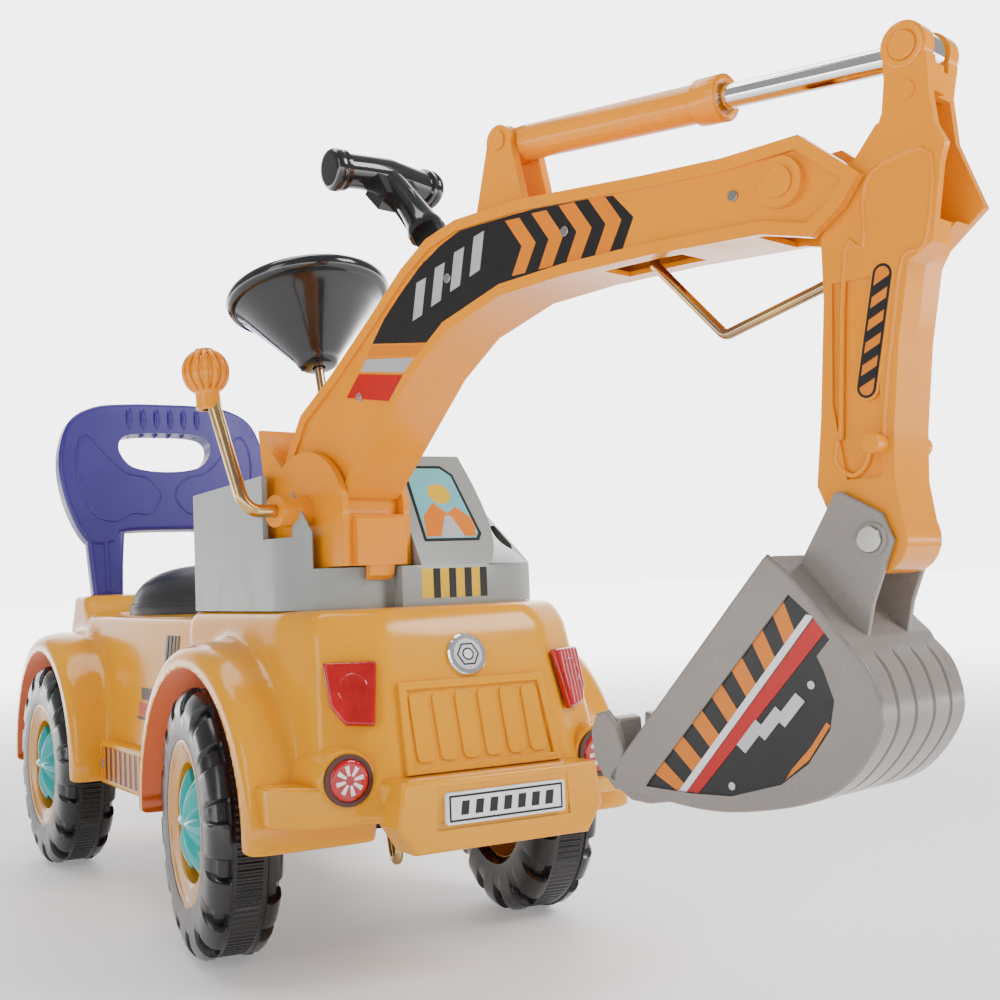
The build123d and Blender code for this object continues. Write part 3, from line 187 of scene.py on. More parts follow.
def moulded(name, light, dark, gloss, grain=400.0, grain_depth=0.00006, coat=0.0, shine=0.5):
    """Moulded plastic: flow marks in the colour, uneven gloss and a fine skin."""
    finish = Finish(name, Coat_Weight=coat, Coat_Roughness=0.06, IOR=1.49, Specular_IOR_Level=shine)
    patches = finish.rise(finish.noise(7.0, 2.0), 0.35, 0.68)
    finish.feed("Base Color", finish.blend(patches, light, dark))
    rubbed = finish.rise(finish.noise(38.0, 5.0, 0.62), 0.45, 0.75)
    finish.feed("Roughness", rubbed * 0.12 + gloss)
    skin = finish.noise(grain, 2.0)
    wave = finish.noise(26.0, 1.0)
    finish.relief(skin * 0.35 + wave, 0.22, grain_depth)
    return finish.material


def metal(name, light, dark, gloss, marks=0.15):
    """Plated or passivated steel with faint drawing marks."""
    finish = Finish(name, Metallic=1.0)
    tint = finish.rise(finish.noise(22.0, 2.0), 0.38, 0.62)
    finish.feed("Base Color", finish.blend(tint, light, dark))
    drawn = finish.noise(90.0, 4.0, 0.7)
    finish.feed("Roughness", drawn * marks + gloss)
    finish.relief(drawn, 0.12, 0.00003)
    return finish.material


def printed(name, ink, gloss=0.24, metallic=0.0):
    """Printed vinyl: nearly even ink under a clear film with faint ripples."""
    finish = Finish(name, Coat_Weight=0.08, Coat_Roughness=0.1, Specular_IOR_Level=0.3, Metallic=metallic)
    darker = tuple(value * 0.86 for value in ink[:3]) + (1.0,)
    finish.feed("Base Color", finish.blend(finish.noise(55.0, 3.0), ink, darker))
    finish.feed("Roughness", finish.noise(90.0, 3.0) * 0.12 + gloss)
    finish.relief(finish.noise(45.0, 2.0), 0.1, 0.00005)
    return finish.material


body_yellow = moulded("body_yellow", rgb(0.82, 0.345, 0.0), rgb(0.77, 0.315, 0.0), 0.14, coat=0.14, shine=0.3)
arm_orange = moulded("arm_orange", rgb(0.80, 0.27, 0.0), rgb(0.75, 0.245, 0.0), 0.18, coat=0.08, shine=0.3)
# Painted shade: a darker red-orange for the insides of the wheel wells and the open underside, standing in
# for shade and for light passing through the plastic.
well_painted_shade = moulded("well_painted_shade", rgb(0.62, 0.085, 0.0), rgb(0.5, 0.065, 0.0), 0.34)
console_grey = moulded("console_grey", rgb(0.27, 0.29, 0.28), rgb(0.235, 0.255, 0.245), 0.36, grain=900.0,
                       grain_depth=0.00009)
bucket_grey = moulded("bucket_grey", rgb(0.25, 0.222, 0.20), rgb(0.215, 0.19, 0.172), 0.26, grain=700.0)
back_purple = moulded("back_purple", rgb(0.036, 0.020, 0.20), rgb(0.028, 0.015, 0.16), 0.3, grain=800.0,
                      shine=0.4)
seat_black = moulded("seat_black", rgb(0.020, 0.021, 0.024), rgb(0.014, 0.015, 0.017), 0.36, grain=700.0,
                     grain_depth=0.0001)
gloss_black = moulded("gloss_black", rgb(0.011, 0.011, 0.013), rgb(0.008, 0.008, 0.009), 0.13, coat=0.4)
tyre_black = moulded("tyre_black", rgb(0.012, 0.012, 0.013), rgb(0.009, 0.009, 0.010), 0.24, grain=500.0,
                     coat=0.15)
chassis_black = moulded("chassis_black", rgb(0.018, 0.018, 0.019), rgb(0.013, 0.013, 0.013), 0.5, grain=600.0)
rim_yellow = moulded("rim_yellow", rgb(0.62, 0.25, 0.0), rgb(0.56, 0.22, 0.0), 0.2, coat=0.2)
cap_cyan = moulded("cap_cyan", rgb(0.005, 0.42, 0.42), rgb(0.004, 0.34, 0.35), 0.14, coat=0.4)
lamp_dark = moulded("lamp_dark", rgb(0.08, 0.018, 0.01), rgb(0.05, 0.012, 0.008), 0.3)
bright_steel = metal("bright_steel", rgb(0.88, 0.88, 0.9), rgb(0.8, 0.8, 0.83), 0.05, marks=0.06)
bronze_steel = metal("bronze_steel", rgb(0.62, 0.42, 0.16), rgb(0.42, 0.27, 0.15), 0.13)
screw_steel = metal("screw_steel", rgb(0.45, 0.44, 0.42), rgb(0.26, 0.26, 0.26), 0.2)
ink_black = printed("ink_black", rgb(0.012, 0.011, 0.012))
ink_orange = printed("ink_orange", rgb(0.72, 0.19, 0.0))
ink_yellow = printed("ink_yellow", rgb(0.75, 0.47, 0.0))
ink_red = printed("ink_red", rgb(0.5, 0.004, 0.004))
ink_white = printed("ink_white", rgb(0.86, 0.86, 0.87))
ink_silver = printed("ink_silver", rgb(0.5, 0.5, 0.53), 0.25, metallic=0.35)
ink_sky = printed("ink_sky", rgb(0.16, 0.50, 0.55))


def lens_red():
    """Clear red moulding over a bright reflector."""
    finish = Finish("lens_red", Coat_Weight=0.35, Coat_Roughness=0.03, IOR=1.5)
    flutes = finish.node("ShaderNodeTexWave", {"bands_direction": "X"},
                         {"Vector": finish.place(), "Scale": 70.0, "Distortion": 1.5})
    depth = finish.noise(60.0, 2.0)
    finish.feed("Base Color", finish.blend(depth, rgb(0.22, 0.0, 0.002), rgb(0.62, 0.003, 0.006)))
    finish.feed("Roughness", depth * 0.1 + 0.04)
    finish.relief(flutes, 0.25, 0.0005)
    return finish.material


red_lens = lens_red()


# ------------------------------------------------------------------ mesh helpers
def piece_from(name, mesh, finish, body):
    """A finished mesh as a piece that rides on a body."""
    data = bpy.data.meshes.new(name)
    mesh.to_mesh(data)
    mesh.free()
    piece = bpy.data.objects.new(name, data)
    bpy.context.scene.collection.objects.link(piece)
    for one in finish if isinstance(finish, (list, tuple)) else [finish]:
        data.materials.append(one)
    if body:
        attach(piece, body)
    return piece


def smooth(piece, angle=38):
    """Shade round edges smooth and keep the true corners crisp."""
    for polygon in piece.data.polygons:
        polygon.use_smooth = True
    piece.data.set_sharp_from_angle(angle=radians(angle))
    even = piece.modifiers.new("even_faces", "WEIGHTED_NORMAL")
    even.keep_sharp = True
    return piece


def soften(node, width, finish, segments=2):
    """Round the corners of a CAD piece as its mould would, and give it its finish."""
    piece = frame["nodes"][node]
    join = piece.modifiers.new("join", "WELD")
    join.merge_threshold = 0.00001
    if width:
        flat = piece.modifiers.new("flat", "DECIMATE")
        flat.decimate_type = "DISSOLVE"
        flat.angle_limit = radians(1.0)
        round_off = piece.modifiers.new("round_off", "BEVEL")
        round_off.width = width * MM
        round_off.segments = segments
        round_off.limit_method = "ANGLE"
        round_off.angle_limit = radians(35)
        round_off.harden_normals = True
    paint(node, finish)
    for polygon in piece.data.polygons:
        polygon.use_smooth = True
    even = piece.modifiers.new("even_faces", "WEIGHTED_NORMAL")
    even.keep_sharp = True
    return piece


def paint(node, finish):
    """Give a CAD piece its finish."""
    piece = frame["nodes"][node]
    piece.data.materials.clear()
    piece.data.materials.append(finish)


def settle(piece):
    """Take a piece's modifiers into its mesh."""
    graph = bpy.context.evaluated_depsgraph_get()
    graph.update()
    data = bpy.data.meshes.new_from_object(piece.evaluated_get(graph))
    piece.modifiers.clear()
    piece.data = data
    return piece


def carve(piece, cutters, finish=None):
    """Cut solids out of a piece, and drop them."""
    for cutter in cutters:
        if finish:
            cutter.data.materials.clear()
            cutter.data.materials.append(finish)
        cut = piece.modifiers.new("cut", "BOOLEAN")
        cut.operation = "DIFFERENCE"
        cut.object = cutter
        cut.solver = "EXACT"
        if finish:
            cut.material_mode = "TRANSFER"
    settle(piece)
    for cutter in cutters:
        bpy.data.objects.remove(cutter)
    return piece


def add_prism(mesh, sheet, outline, low, high, taper=1.0):
    """Closed prism on a sheet between two depths; returns its far and near faces."""
    centre = Vector((sum(p[0] for p in outline), sum(p[1] for p in outline))) / len(outline)
    near = [mesh.verts.new(sheet.at(u, v, low)) for u, v in outline]
    far = [mesh.verts.new(sheet.at(centre.x + (u - centre.x) * taper, centre.y + (v - centre.y) * taper,
                                   high)) for u, v in outline]
    faces = [mesh.faces.new(list(reversed(near))), mesh.faces.new(far)]
    for index in range(len(outline)):
        after = (index + 1) % len(outline)
        mesh.faces.new((near[index], near[after], far[after], far[index]))
    return faces


def plate(name, sheet, outline, low, high, finish, body, edge=0.0, taper=1.0, segments=3):
    """A plate on a sheet with rounded rims."""
    mesh = bmesh.new()
    faces = add_prism(mesh, sheet, outline, low, high, taper)
    bmesh.ops.recalc_face_normals(mesh, faces=mesh.faces)
    if edge:
        rims = list({e for face in faces for e in face.edges})
        bmesh.ops.bevel(mesh, geom=rims, offset=edge * MM, segments=segments, profile=0.5, affect="EDGES",
                        clamp_overlap=True)
    return smooth(piece_from(name, mesh, finish, body))


# a print's first layer, each further one, and how deep under the surface all of them start
ink_thick, ink_step, ink_root = 0.12, 0.05, 0.3


def sticker(name, sheet, depth, shapes, body):
    """Flat printed shapes on a sheet, each a little above the last."""
    mesh = bmesh.new()
    finishes = []
    for layer, (outline, ink) in enumerate(shapes):
        if ink not in finishes:
            finishes.append(ink)
        before = len(mesh.faces)
        add_prism(mesh, sheet, outline, depth - ink_root, depth + ink_thick + layer * ink_step)
        mesh.faces.ensure_lookup_table()
        for face in mesh.faces[before:]:
            face.material_index = finishes.index(ink)
    bmesh.ops.recalc_face_normals(mesh, faces=mesh.faces)
    return piece_from(name, mesh, finishes, body)


def arm_print(name, depth, shapes, body):
    """The same print on both sides of the digging arm."""
    for tag, plane, side in arm_sides:
        turned_round = [(to_side(side, outline), ink) for outline, ink in shapes]
        sticker(f"{name}_{tag}", plane, depth, turned_round, body)


def to_side(side, outline):
    """An outline as it lies on the sheet of one side, 1 or -1."""
    return [(side * u, v) for u, v in outline]


def mirrored(points):
    return points + [(-u, v) for u, v in reversed(points)]


def slanted(left, right, low, high, lean=0.0):
    """A bar with level ends, leaning over by so much."""
    return [(left, low), (right, low), (right + lean, high), (left + lean, high)]


def circle(centre, radius, count=32, start=0.0, turn=2 * pi):
    """Points round a centre; a part turn includes both its ends."""
    whole = abs(turn - 2 * pi) < 1e-6
    steps = count if whole else count - 1
    return [(centre[0] + radius * cos(start + turn * i / steps),
             centre[1] + radius * sin(start + turn * i / steps)) for i in range(count)]


def between(a, b, c, d, t):
    """A number on the smooth line from b to c, with a before it and d after it."""
    square = 2 * a - 5 * b + 4 * c - d
    return 0.5 * (2 * b + (c - a) * t + square * t * t + (3 * b - a - 3 * c + d) * t ** 3)


def curved(points, steps=4, closed=True):
    """A smooth line through a few points."""
    total = len(points)
    made = []
    for index in range(total if closed else total - 1):
        picks = [index + k for k in (-1, 0, 1, 2)]
        if not closed:
            picks = [min(max(pick, 0), total - 1) for pick in picks]
        a, b, c, d = [points[pick % total] for pick in picks]
        for step in range(steps):
            made.append(tuple(between(*numbers, step / steps) for numbers in zip(a, b, c, d)))
    if not closed:
        made.append(tuple(points[-1]))
    return made


def ring_of(mesh, centre, side, front, radius, count):
    """Corners of a round ring, its radius in millimetres."""
    angles = [2 * pi * i / count for i in range(count)]
    return [mesh.verts.new(centre + (side * cos(angle) + front * sin(angle)) * radius * MM)
            for angle in angles]


def join_rings(mesh, low, high, shift=0):
    """Faces between two closed rings, the second of them turned by a few corners."""
    count = len(low)
    for k in range(count):
        after = (k + 1) % count
        mesh.faces.new((low[k], low[after], high[(after + shift) % count], high[(k + shift) % count]))


def turned(name, origin, axis, profile, finish, body, count=64, angle=38):
    """A piece turned about an axis from (radius, height) points in millimetres."""
    axis = Vector(axis).normalized()
    side = axis.orthogonal().normalized()
    front = axis.cross(side)
    mesh = bmesh.new()
    rings = []
    for radius, height in profile:
        centre = Vector(origin) + axis * height * MM
        if radius < 1e-6:
            rings.append([mesh.verts.new(centre)])
        else:
            rings.append(ring_of(mesh, centre, side, front, radius, count))
    for low, high in zip(rings, rings[1:]):
        for i in range(count):
            j = (i + 1) % count
            corners = []
            for vert in (low[i % len(low)], low[j % len(low)], high[j % len(high)], high[i % len(high)]):
                if vert not in corners:
                    corners.append(vert)
            if len(corners) > 2:
                mesh.faces.new(corners)
    bmesh.ops.recalc_face_normals(mesh, faces=mesh.faces)
    return smooth(piece_from(name, mesh, finish, body), angle)


def rope(name, points, radius, finish, body, closed=False, rings=8):
    """A round bead along points in the toy's space."""
    mesh = bmesh.new()
    loops = []
    total = len(points)
    for index, point in enumerate(points):
        before = points[index - 1] if index or closed else point
        after = points[(index + 1) % total] if index < total - 1 or closed else point
        along = (after - before).normalized()
        if loops:
            side = (side - along * side.dot(along)).normalized()
        else:
            side = along.orthogonal().normalized()
        loops.append(ring_of(mesh, point, side, along.cross(side), radius, rings))
    for index in range(total if closed else total - 1):
        low, high = loops[index], loops[(index + 1) % total]
        shift = 0
        if closed and index == total - 1:
            shift = min(range(rings), key=lambda s: (low[0].co - high[s].co).length)
        join_rings(mesh, low, high, shift)
    if not closed:
        mesh.faces.new(list(reversed(loops[0])))
        mesh.faces.new(loops[-1])
    bmesh.ops.recalc_face_normals(mesh, faces=mesh.faces)
    return smooth(piece_from(name, mesh, finish, body), 60)


def tube(name, points, radii, finish, body, rings=32, angle=50):
    """A round piece along points, with a radius in millimetres at each."""
    mesh = bmesh.new()
    loops = []
    side = (points[1] - points[0]).orthogonal().normalized()
    for index, (point, radius) in enumerate(zip(points, radii)):
        before, after = points[max(index - 1, 0)], points[min(index + 1, len(points) - 1)]
        along = (after - before).normalized()
        side = (side - along * side.dot(along)).normalized()
        loops.append(ring_of(mesh, point, side, along.cross(side), radius, rings))
    for low, high in zip(loops, loops[1:]):
        join_rings(mesh, low, high)
    mesh.faces.new(list(reversed(loops[0])))
    mesh.faces.new(loops[-1])
    bmesh.ops.recalc_face_normals(mesh, faces=mesh.faces)
    return smooth(piece_from(name, mesh, finish, body), angle)


# ------------------------------------------------------------------ body shell
level = Sheet((0, 0, 0), (1, 0, 0), (0, 1, 0))          # plan: right, back, up
side_view = Sheet((0, 0, 0), (0, 1, 0), (0, 0, 1))      # seen from the left: back, up, out to +X
axle = middle("rear_left_tyre")
wheelbase, axle_height = axle.y / MM, axle.z / MM
floor_z, sill_z, fold_z, deck_z, seat_deck_z, rear_deck_z = 89.0, 108.0, 229.0, 243.0, 238.0, 258.0
tail_y = wheelbase + 70
wall_front, wall_half = 100, 116
wall_lean, wall_rise = 20, 150     # the side walls lean in by the one over the other
arch_radius, fender_radius, fender_outer, well_inner, well_outer = 110.0, 128.0, 146.0, 58, 200
bonnet_plans = [
    (sill_z, [(66, -176), (112, -150), (116, -100), (116, 112)]),
    (fold_z, [(62, -142), (99, -118), (107, -80), (107, 112)]),
    (deck_z, [(54, -134), (92, -112), (103, -78), (103, 112)]),
]


def wall_out(height):
    """How far out the side walls stand at one height."""
    return wall_half - (height - sill_z) * wall_lean / wall_rise


def bonnet_block(mesh):
    """Bonnet, drawn in at the fold and again at the deck."""
    rings = [[mesh.verts.new(level.at(u, v, height)) for u, v in mirrored(plan)]
             for height, plan in bonnet_plans]
    for low, high in zip(rings, rings[1:]):
        join_rings(mesh, low, high)
    mesh.faces.new(list(reversed(rings[0])))
    mesh.faces.new(rings[-1])


def wall_block(mesh):
    """Side walls, and the deck, which steps up at the tail."""
    deck = [(wall_front, sill_z), (tail_y, sill_z), (tail_y, rear_deck_z), (tail_y - 44, rear_deck_z),
            (tail_y - 72, seat_deck_z), (wall_front, seat_deck_z)]
    near = [mesh.verts.new(Vector((-wall_out(z), y, z)) * MM) for y, z in deck]
    far = [mesh.verts.new(Vector((wall_out(z), y, z)) * MM) for y, z in deck]
    mesh.faces.new(near)
    mesh.faces.new(list(reversed(far)))
    for i in range(len(deck)):
        j = (i + 1) % len(deck)
        mesh.faces.new((near[i], far[i], far[j], near[j]))


def mudguard(mesh, axle_y, side):
    """One mudguard, its edge drawn in towards the outside."""
    start = atan2(floor_z - axle_height, fender_radius - 0.1)
    arc = circle((axle_y, axle_height), fender_radius, 40, start, pi - 2 * start)
    loops = []
    for out, share in ((well_inner, 1.0), (126, 1.0), (140, 0.985), (fender_outer + 1.5, 0.95)):
        drawn_in = [(axle_y + (u - axle_y) * share, axle_height + (v - axle_height) * share) for u, v in arc]
        loops.append([mesh.verts.new(side_view.at(u, v, side * out)) for u, v in drawn_in])
    for low, high in zip(loops, loops[1:]):
        join_rings(mesh, low, high)
    mesh.faces.new(loops[0])
    mesh.faces.new(loops[-1])


def wheel_well(name, axle_y, side, inner=well_inner):
    """The room round one wheel, as a solid to cut with; it passes its darker red-orange, painted shade, to
    the cut faces.
    """
    low, high = sorted((side * inner, side * well_outer))
    return plate(name, side_view, circle((axle_y, axle_height), arch_radius, 72), low, high, well_painted_shade, None)


def body_shell():
    """One blown shell: bonnet, side walls, deck and mudguards run into each other."""
    mesh = bmesh.new()
    bonnet_block(mesh)
    wall_block(mesh)
    for axle_y in (0, wheelbase):
        for side in (-1, 1):
            mudguard(mesh, axle_y, side)
    bmesh.ops.recalc_face_normals(mesh, faces=mesh.faces)
    shell = piece_from("body_moulding", mesh, body_yellow, "base")
    knit = shell.modifiers.new("knit", "REMESH")
    knit.mode = "VOXEL"
    knit.voxel_size = 3.2 * MM
    knit.adaptivity = 0.0
    settle(shell)
    soft = shell.modifiers.new("soft", "SMOOTH")
    soft.factor = 0.5
    soft.iterations = 14
    settle(shell)
    # wheel wells, and the open underside; their cut faces take a darker red-orange, painted shade
    wells = [wheel_well(f"well_{axle_y:.0f}_{side}", axle_y, side, inner)
             for axle_y, inner in ((0, well_inner), (wheelbase, 92)) for side in (-1, 1)]
    carve(shell, wells, well_painted_shade)
    hollow = mirrored([(55, -150), (55, 126), (89.5, 126), (89.5, 506)])
    carve(shell, [plate("under_room", level, hollow, 20, 120.3, well_painted_shade, None)], well_painted_shade)
    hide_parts("body_shell")
    for polygon in shell.data.polygons:
        polygon.use_smooth = True
    shell.data.set_sharp_from_angle(angle=radians(45))


def bumper():
    """Bumper with a ridge along its top, its lobe and the plate's recess."""
    front = Sheet((0, -192 * MM, 0), (1, 0, 0), (0, 0, 1))
    plan = mirrored([(69, -191.5), (76, -160), (114, -159.5), (139, -136), (145.5, -95)])
    bar = plate("bumper", level, plan, sill_z, 134, body_yellow, "base", 3.0)
    wells = [wheel_well(f"bumper_well_{side}", 0, side) for side in (-1, 1)]
    # The wells' cut faces take the darker red-orange, painted shade.
    carve(bar, wells, well_painted_shade)
    smooth(bar)
    lobe = [(-76, sill_z), (-64, floor_z + 1), (64, floor_z + 1), (76, sill_z), (72, 136), (-72, 136)]
    shape = plate("bumper_lobe", front, lobe, -30, 0, body_yellow, "base", 2.5)
    recess = [(-50, 104), (50, 104), (48, 131), (-48, 131)]
    carve(shape, [plate("plate_recess", front, recess, -1.2, 6, body_yellow, None)])
    smooth(shape)


def running_boards():
    """Step along each side with its striped face."""
    front, back, out, top = 134, 316, 125, 128
    margin_end, margin_edge, count = 8, 5, 11
    start, length = front + margin_end, back - front - 2 * margin_end
    field_low, field_high = floor_z + margin_edge, top - margin_edge
    pitch = length / count
    for side, name in ((1, "left"), (-1, "right")):
        wall = Sheet((side * out * MM, 0, 0), (0, side, 0), (0, 0, 1))
        face = to_side(side, slanted(front, back, floor_z, top))
        plate(f"running_board_{name}", wall, face, -34, 0, body_yellow, "base", 2.5)
        stripes = [(to_side(side, slanted(start, start + length, field_low, field_high)), ink_black)]
        for k in range(count):
            y = start + k * pitch + pitch * 0.25
            stripes.append((to_side(side, slanted(y, y + pitch * 0.5, field_low, field_high)), ink_orange))
        sticker(f"board_stripes_{name}", wall, 0.0, stripes, "base")


def side_marks():
    """Generic printed marks on the side walls: a gear with bars, and a striped panel."""
    mark_z, gear_y = 165, 168
    lean = wall_lean / wall_rise
    for side, name in ((1, "left"), (-1, "right")):
        wall = Sheet((side * wall_out(mark_z) * MM, 0, mark_z * MM), (0, side, 0), (-side * lean, 0, 1))
        gear = []
        for k in range(24):
            radius = 15.5 if (k // 2) % 2 else 12.5
            angle = 2 * pi * k / 24
            gear.append((side * gear_y + radius * cos(angle), -2 + radius * sin(angle)))
        shapes = [(gear, ink_black), (circle((side * gear_y, -2), 10.5, 24), ink_orange),
                  (circle((side * gear_y, -2), 4.5, 16), ink_white)]
        for row, (low, high, ink) in enumerate(((2, 12, ink_black), (-11, -1, ink_red),
                                                (-15, -12.5, ink_black))):
            start = gear_y + 18 + row * 2
            shapes.append((to_side(side, slanted(start, start + 52, low, high, 4)), ink))
        sticker(f"gear_mark_{name}", wall, 0.4, shapes, "base")
        bars = [(to_side(side, slanted(y, y + 6, 34, 58, 2)), ink_black) for y in range(150, 186, 9)]
        sticker(f"bar_mark_{name}", wall, 0.6, bars, "base")


def lamp_housings():
    """Round lamp pods on the bumper, with a patterned lens in each."""
    inner, outer, inner_half, outer_half, rays = 3.2, 9.6, 0.25, 0.16, 8
    for node_side in ("left", "right"):
        lens = middle(f"round_lamp_lens_{node_side}")
        ring = middle(f"round_lamp_ring_{node_side}")
        base = Vector((ring.x, ring.y + 1.5 * MM, ring.z))
        profile = [(0, -50), (21, -50), (19.5, -2), (18.5, 0), (16.4, 0.4), (16.2, -1), (0, -1)]
        turned(f"lamp_pod_{node_side}", base, (0, -1, 0), profile, body_yellow, "base")
        paint(f"round_lamp_ring_{node_side}", lamp_dark)
        paint(f"round_lamp_lens_{node_side}", red_lens)
        face = Sheet((lens.x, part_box(f"round_lamp_lens_{node_side}")[0].y, lens.z), (1, 0, 0), (0, 0, 1))
        shapes = []
        for ray in range(rays):
            angle = 2 * pi * ray / rays + 0.2
            corners = ((inner, -inner_half), (outer, -outer_half), (outer, outer_half), (inner, inner_half))
            shapes.append(([(radius * cos(angle + turn), radius * sin(angle + turn))
                            for radius, turn in corners], ink_white))
        sticker(f"lamp_star_{node_side}", face, -0.05, shapes, "base")


def headlamps():
    """Headlamp with a raised red lens and a round reflector inside."""
    for node_side, sign in (("left", 1), ("right", -1)):
        node = f"headlamp_{node_side}"
        soften(node, 1.2, red_lens)
        centre = middle(node)
        out = Vector((sign * 0.5, -0.83, 0.24)).normalized()
        across = UP.cross(out).normalized()
        face = Sheet(centre + out * 4.2 * MM, across, out.cross(across))
        profile = [(10.5, -2), (10.5, 0.6), (9.5, 1.4), (8.5, 0.7), (4, 0.2), (0, 0.6)]
        turned(f"reflector_{node_side}", face.at(0, 3, 0), out, profile, red_lens, "base")


def nose_trim():
    """Grille slats, badge with a plain ring pattern, and a plate of plain bars."""
    soften("grille", 0.8, body_yellow)
    paint("badge_disc", bright_steel)
    draw_in = bonnet_plans[1][1][0][1] - bonnet_plans[0][1][0][1]
    lean = Vector((0, -1, draw_in / (fold_z - sill_z))).normalized()
    face = Sheet(middle("badge_disc"), (1, 0, 0), lean.cross(Vector((1, 0, 0))))
    rings = [(11.4, 40, ink_black), (10.6, 40, ink_silver), (8.6, 6, ink_black), (7.2, 6, ink_silver),
             (4.4, 24, ink_black), (3.2, 20, ink_white)]
    sticker("badge_print", face, 1.5, [(circle((0, 0), radius, count), ink) for radius, count, ink in rings],
            "base")
    paint("number_plate", ink_white)
    front = Sheet((0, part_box("number_plate")[0].y, middle("number_plate").z), (1, 0, 0), (0, 0, 1))
    shapes = [(slanted(-42, 42, -8.3, 8.3), ink_black), (slanted(-40.6, 40.6, -6.9, 6.9), ink_white)]
    for k in range(7):
        u = -34 + k * 10.4
        shapes.append((slanted(u, u + 5.6, -4.4, 4.4, 1.2), ink_black))
    sticker("plate_print", front, 0.0, shapes, "base")


# ------------------------------------------------------------------ console
def console_fin():
    """Corner wall beside the turntable, falling away from the lever's boss."""
    swing = hinges["arm_swing"]["pos_m"]
    outer, inner, foot = 46.9, 44.4, 270
    mesh = bmesh.new()
    columns = []
    for step in range(10):
        angle = radians(211 + 2 * step)
        top = 324 - 3.1 * step
        corners = ((outer, foot), (outer, top), (inner, top), (inner, foot))
        columns.append([mesh.verts.new((swing[0] + radius * cos(angle) * MM,
                                        swing[1] + radius * sin(angle) * MM, height * MM))
                        for radius, height in corners])
    for low, high in zip(columns, columns[1:]):
        join_rings(mesh, low, high)
    mesh.faces.new(columns[0])
    mesh.faces.new(list(reversed(columns[-1])))
    bmesh.ops.recalc_face_normals(mesh, faces=mesh.faces)
    smooth(piece_from("console_fin", mesh, console_grey, "base"))


def console():
    """Grey console with the cab's printed panels."""
    soften("console", 1.3, console_grey)
    console_fin()
    band = Sheet((0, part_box("console")[0].y, 0), (1, 0, 0), (0, 0, 1))
    band_low, band_high = 248, 268.5
    shapes = [(slanted(-13, 39, band_low, band_high), ink_yellow)]
    for k in range(4):
        u = -4 + k * 12.4
        shapes.append((slanted(u, u + 5.6, band_low, band_high), ink_black))
    sticker("cab_band", band, 0.0, shapes, "base")
    slope = Vector((0, 54, 81)).normalized()
    panel = Sheet((0, -0.112, 0.271), (1, 0, 0), slope)
    outline = [(-4, 20), (40, 20), (44, 26), (38, 80), (30, 88), (4, 88), (-2, 82)]
    inner = [(-1.5, 22.5), (38.5, 22.5), (41.5, 27), (36, 78.5), (29, 85.5), (5.2, 85.5), (0.4, 80.5)]
    sun = circle((21, 62), 9, 28)
    hill = [(-1.2, 24), (38.5, 24), (40.8, 32), (39.6, 41), (30, 50), (22, 44), (13, 54), (2, 42)]
    road = [(10, 22.8), (30, 22.8), (24, 42), (19, 42)]
    shapes = [(outline, ink_black), (inner, ink_sky), (sun, ink_yellow), (hill, ink_orange),
              (road, ink_silver)]
    sticker("cab_picture", panel, 0.0, shapes, "base")


# ------------------------------------------------------------------ seat and backrest
def seat():
    """Domed saddle with a lip round its foot."""
    low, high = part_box("seat")
    centre = (low + high) / 2
    half_x, half_y = (high.x - low.x) / 2, (high.y - low.y) / 2
    rows, count, brim, brim_height = 16, 72, 0.965, 0.225
    profile = [(1.0, 0.0), (1.0, 0.16), (0.985, 0.21), (brim, brim_height)]
    for row in range(1, rows + 1):
        share = row / rows
        profile.append((brim * (1 - share ** 1.6 * 0.999),
                        brim_height + (1 - brim_height) * (1 - (1 - share) ** 2.4)))
    mesh = bmesh.new()
    rings = []
    for share, height in profile:
        ring = []
        for k in range(count):
            angle = 2 * pi * k / count
            nose = 1 - 0.10 * max(0.0, -sin(angle)) * share
            sag = max(0.0, 0.03 * (1 - share) * cos(2 * angle)) * 0.2
            z = low.z + (high.z - low.z) * min(1.0, height - sag)
            ring.append(mesh.verts.new((centre.x + half_x * share * cos(angle) * nose,
                                        centre.y + half_y * share * sin(angle), z)))
        rings.append(ring)
    for first, second in zip(rings, rings[1:]):
        join_rings(mesh, first, second)
    mesh.faces.new(list(reversed(rings[0])))
    mesh.faces.new(rings[-1])
    bmesh.ops.recalc_face_normals(mesh, faces=mesh.faces)
    saddle = smooth(piece_from("saddle", mesh, seat_black, "base"), 50)
    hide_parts("seat")


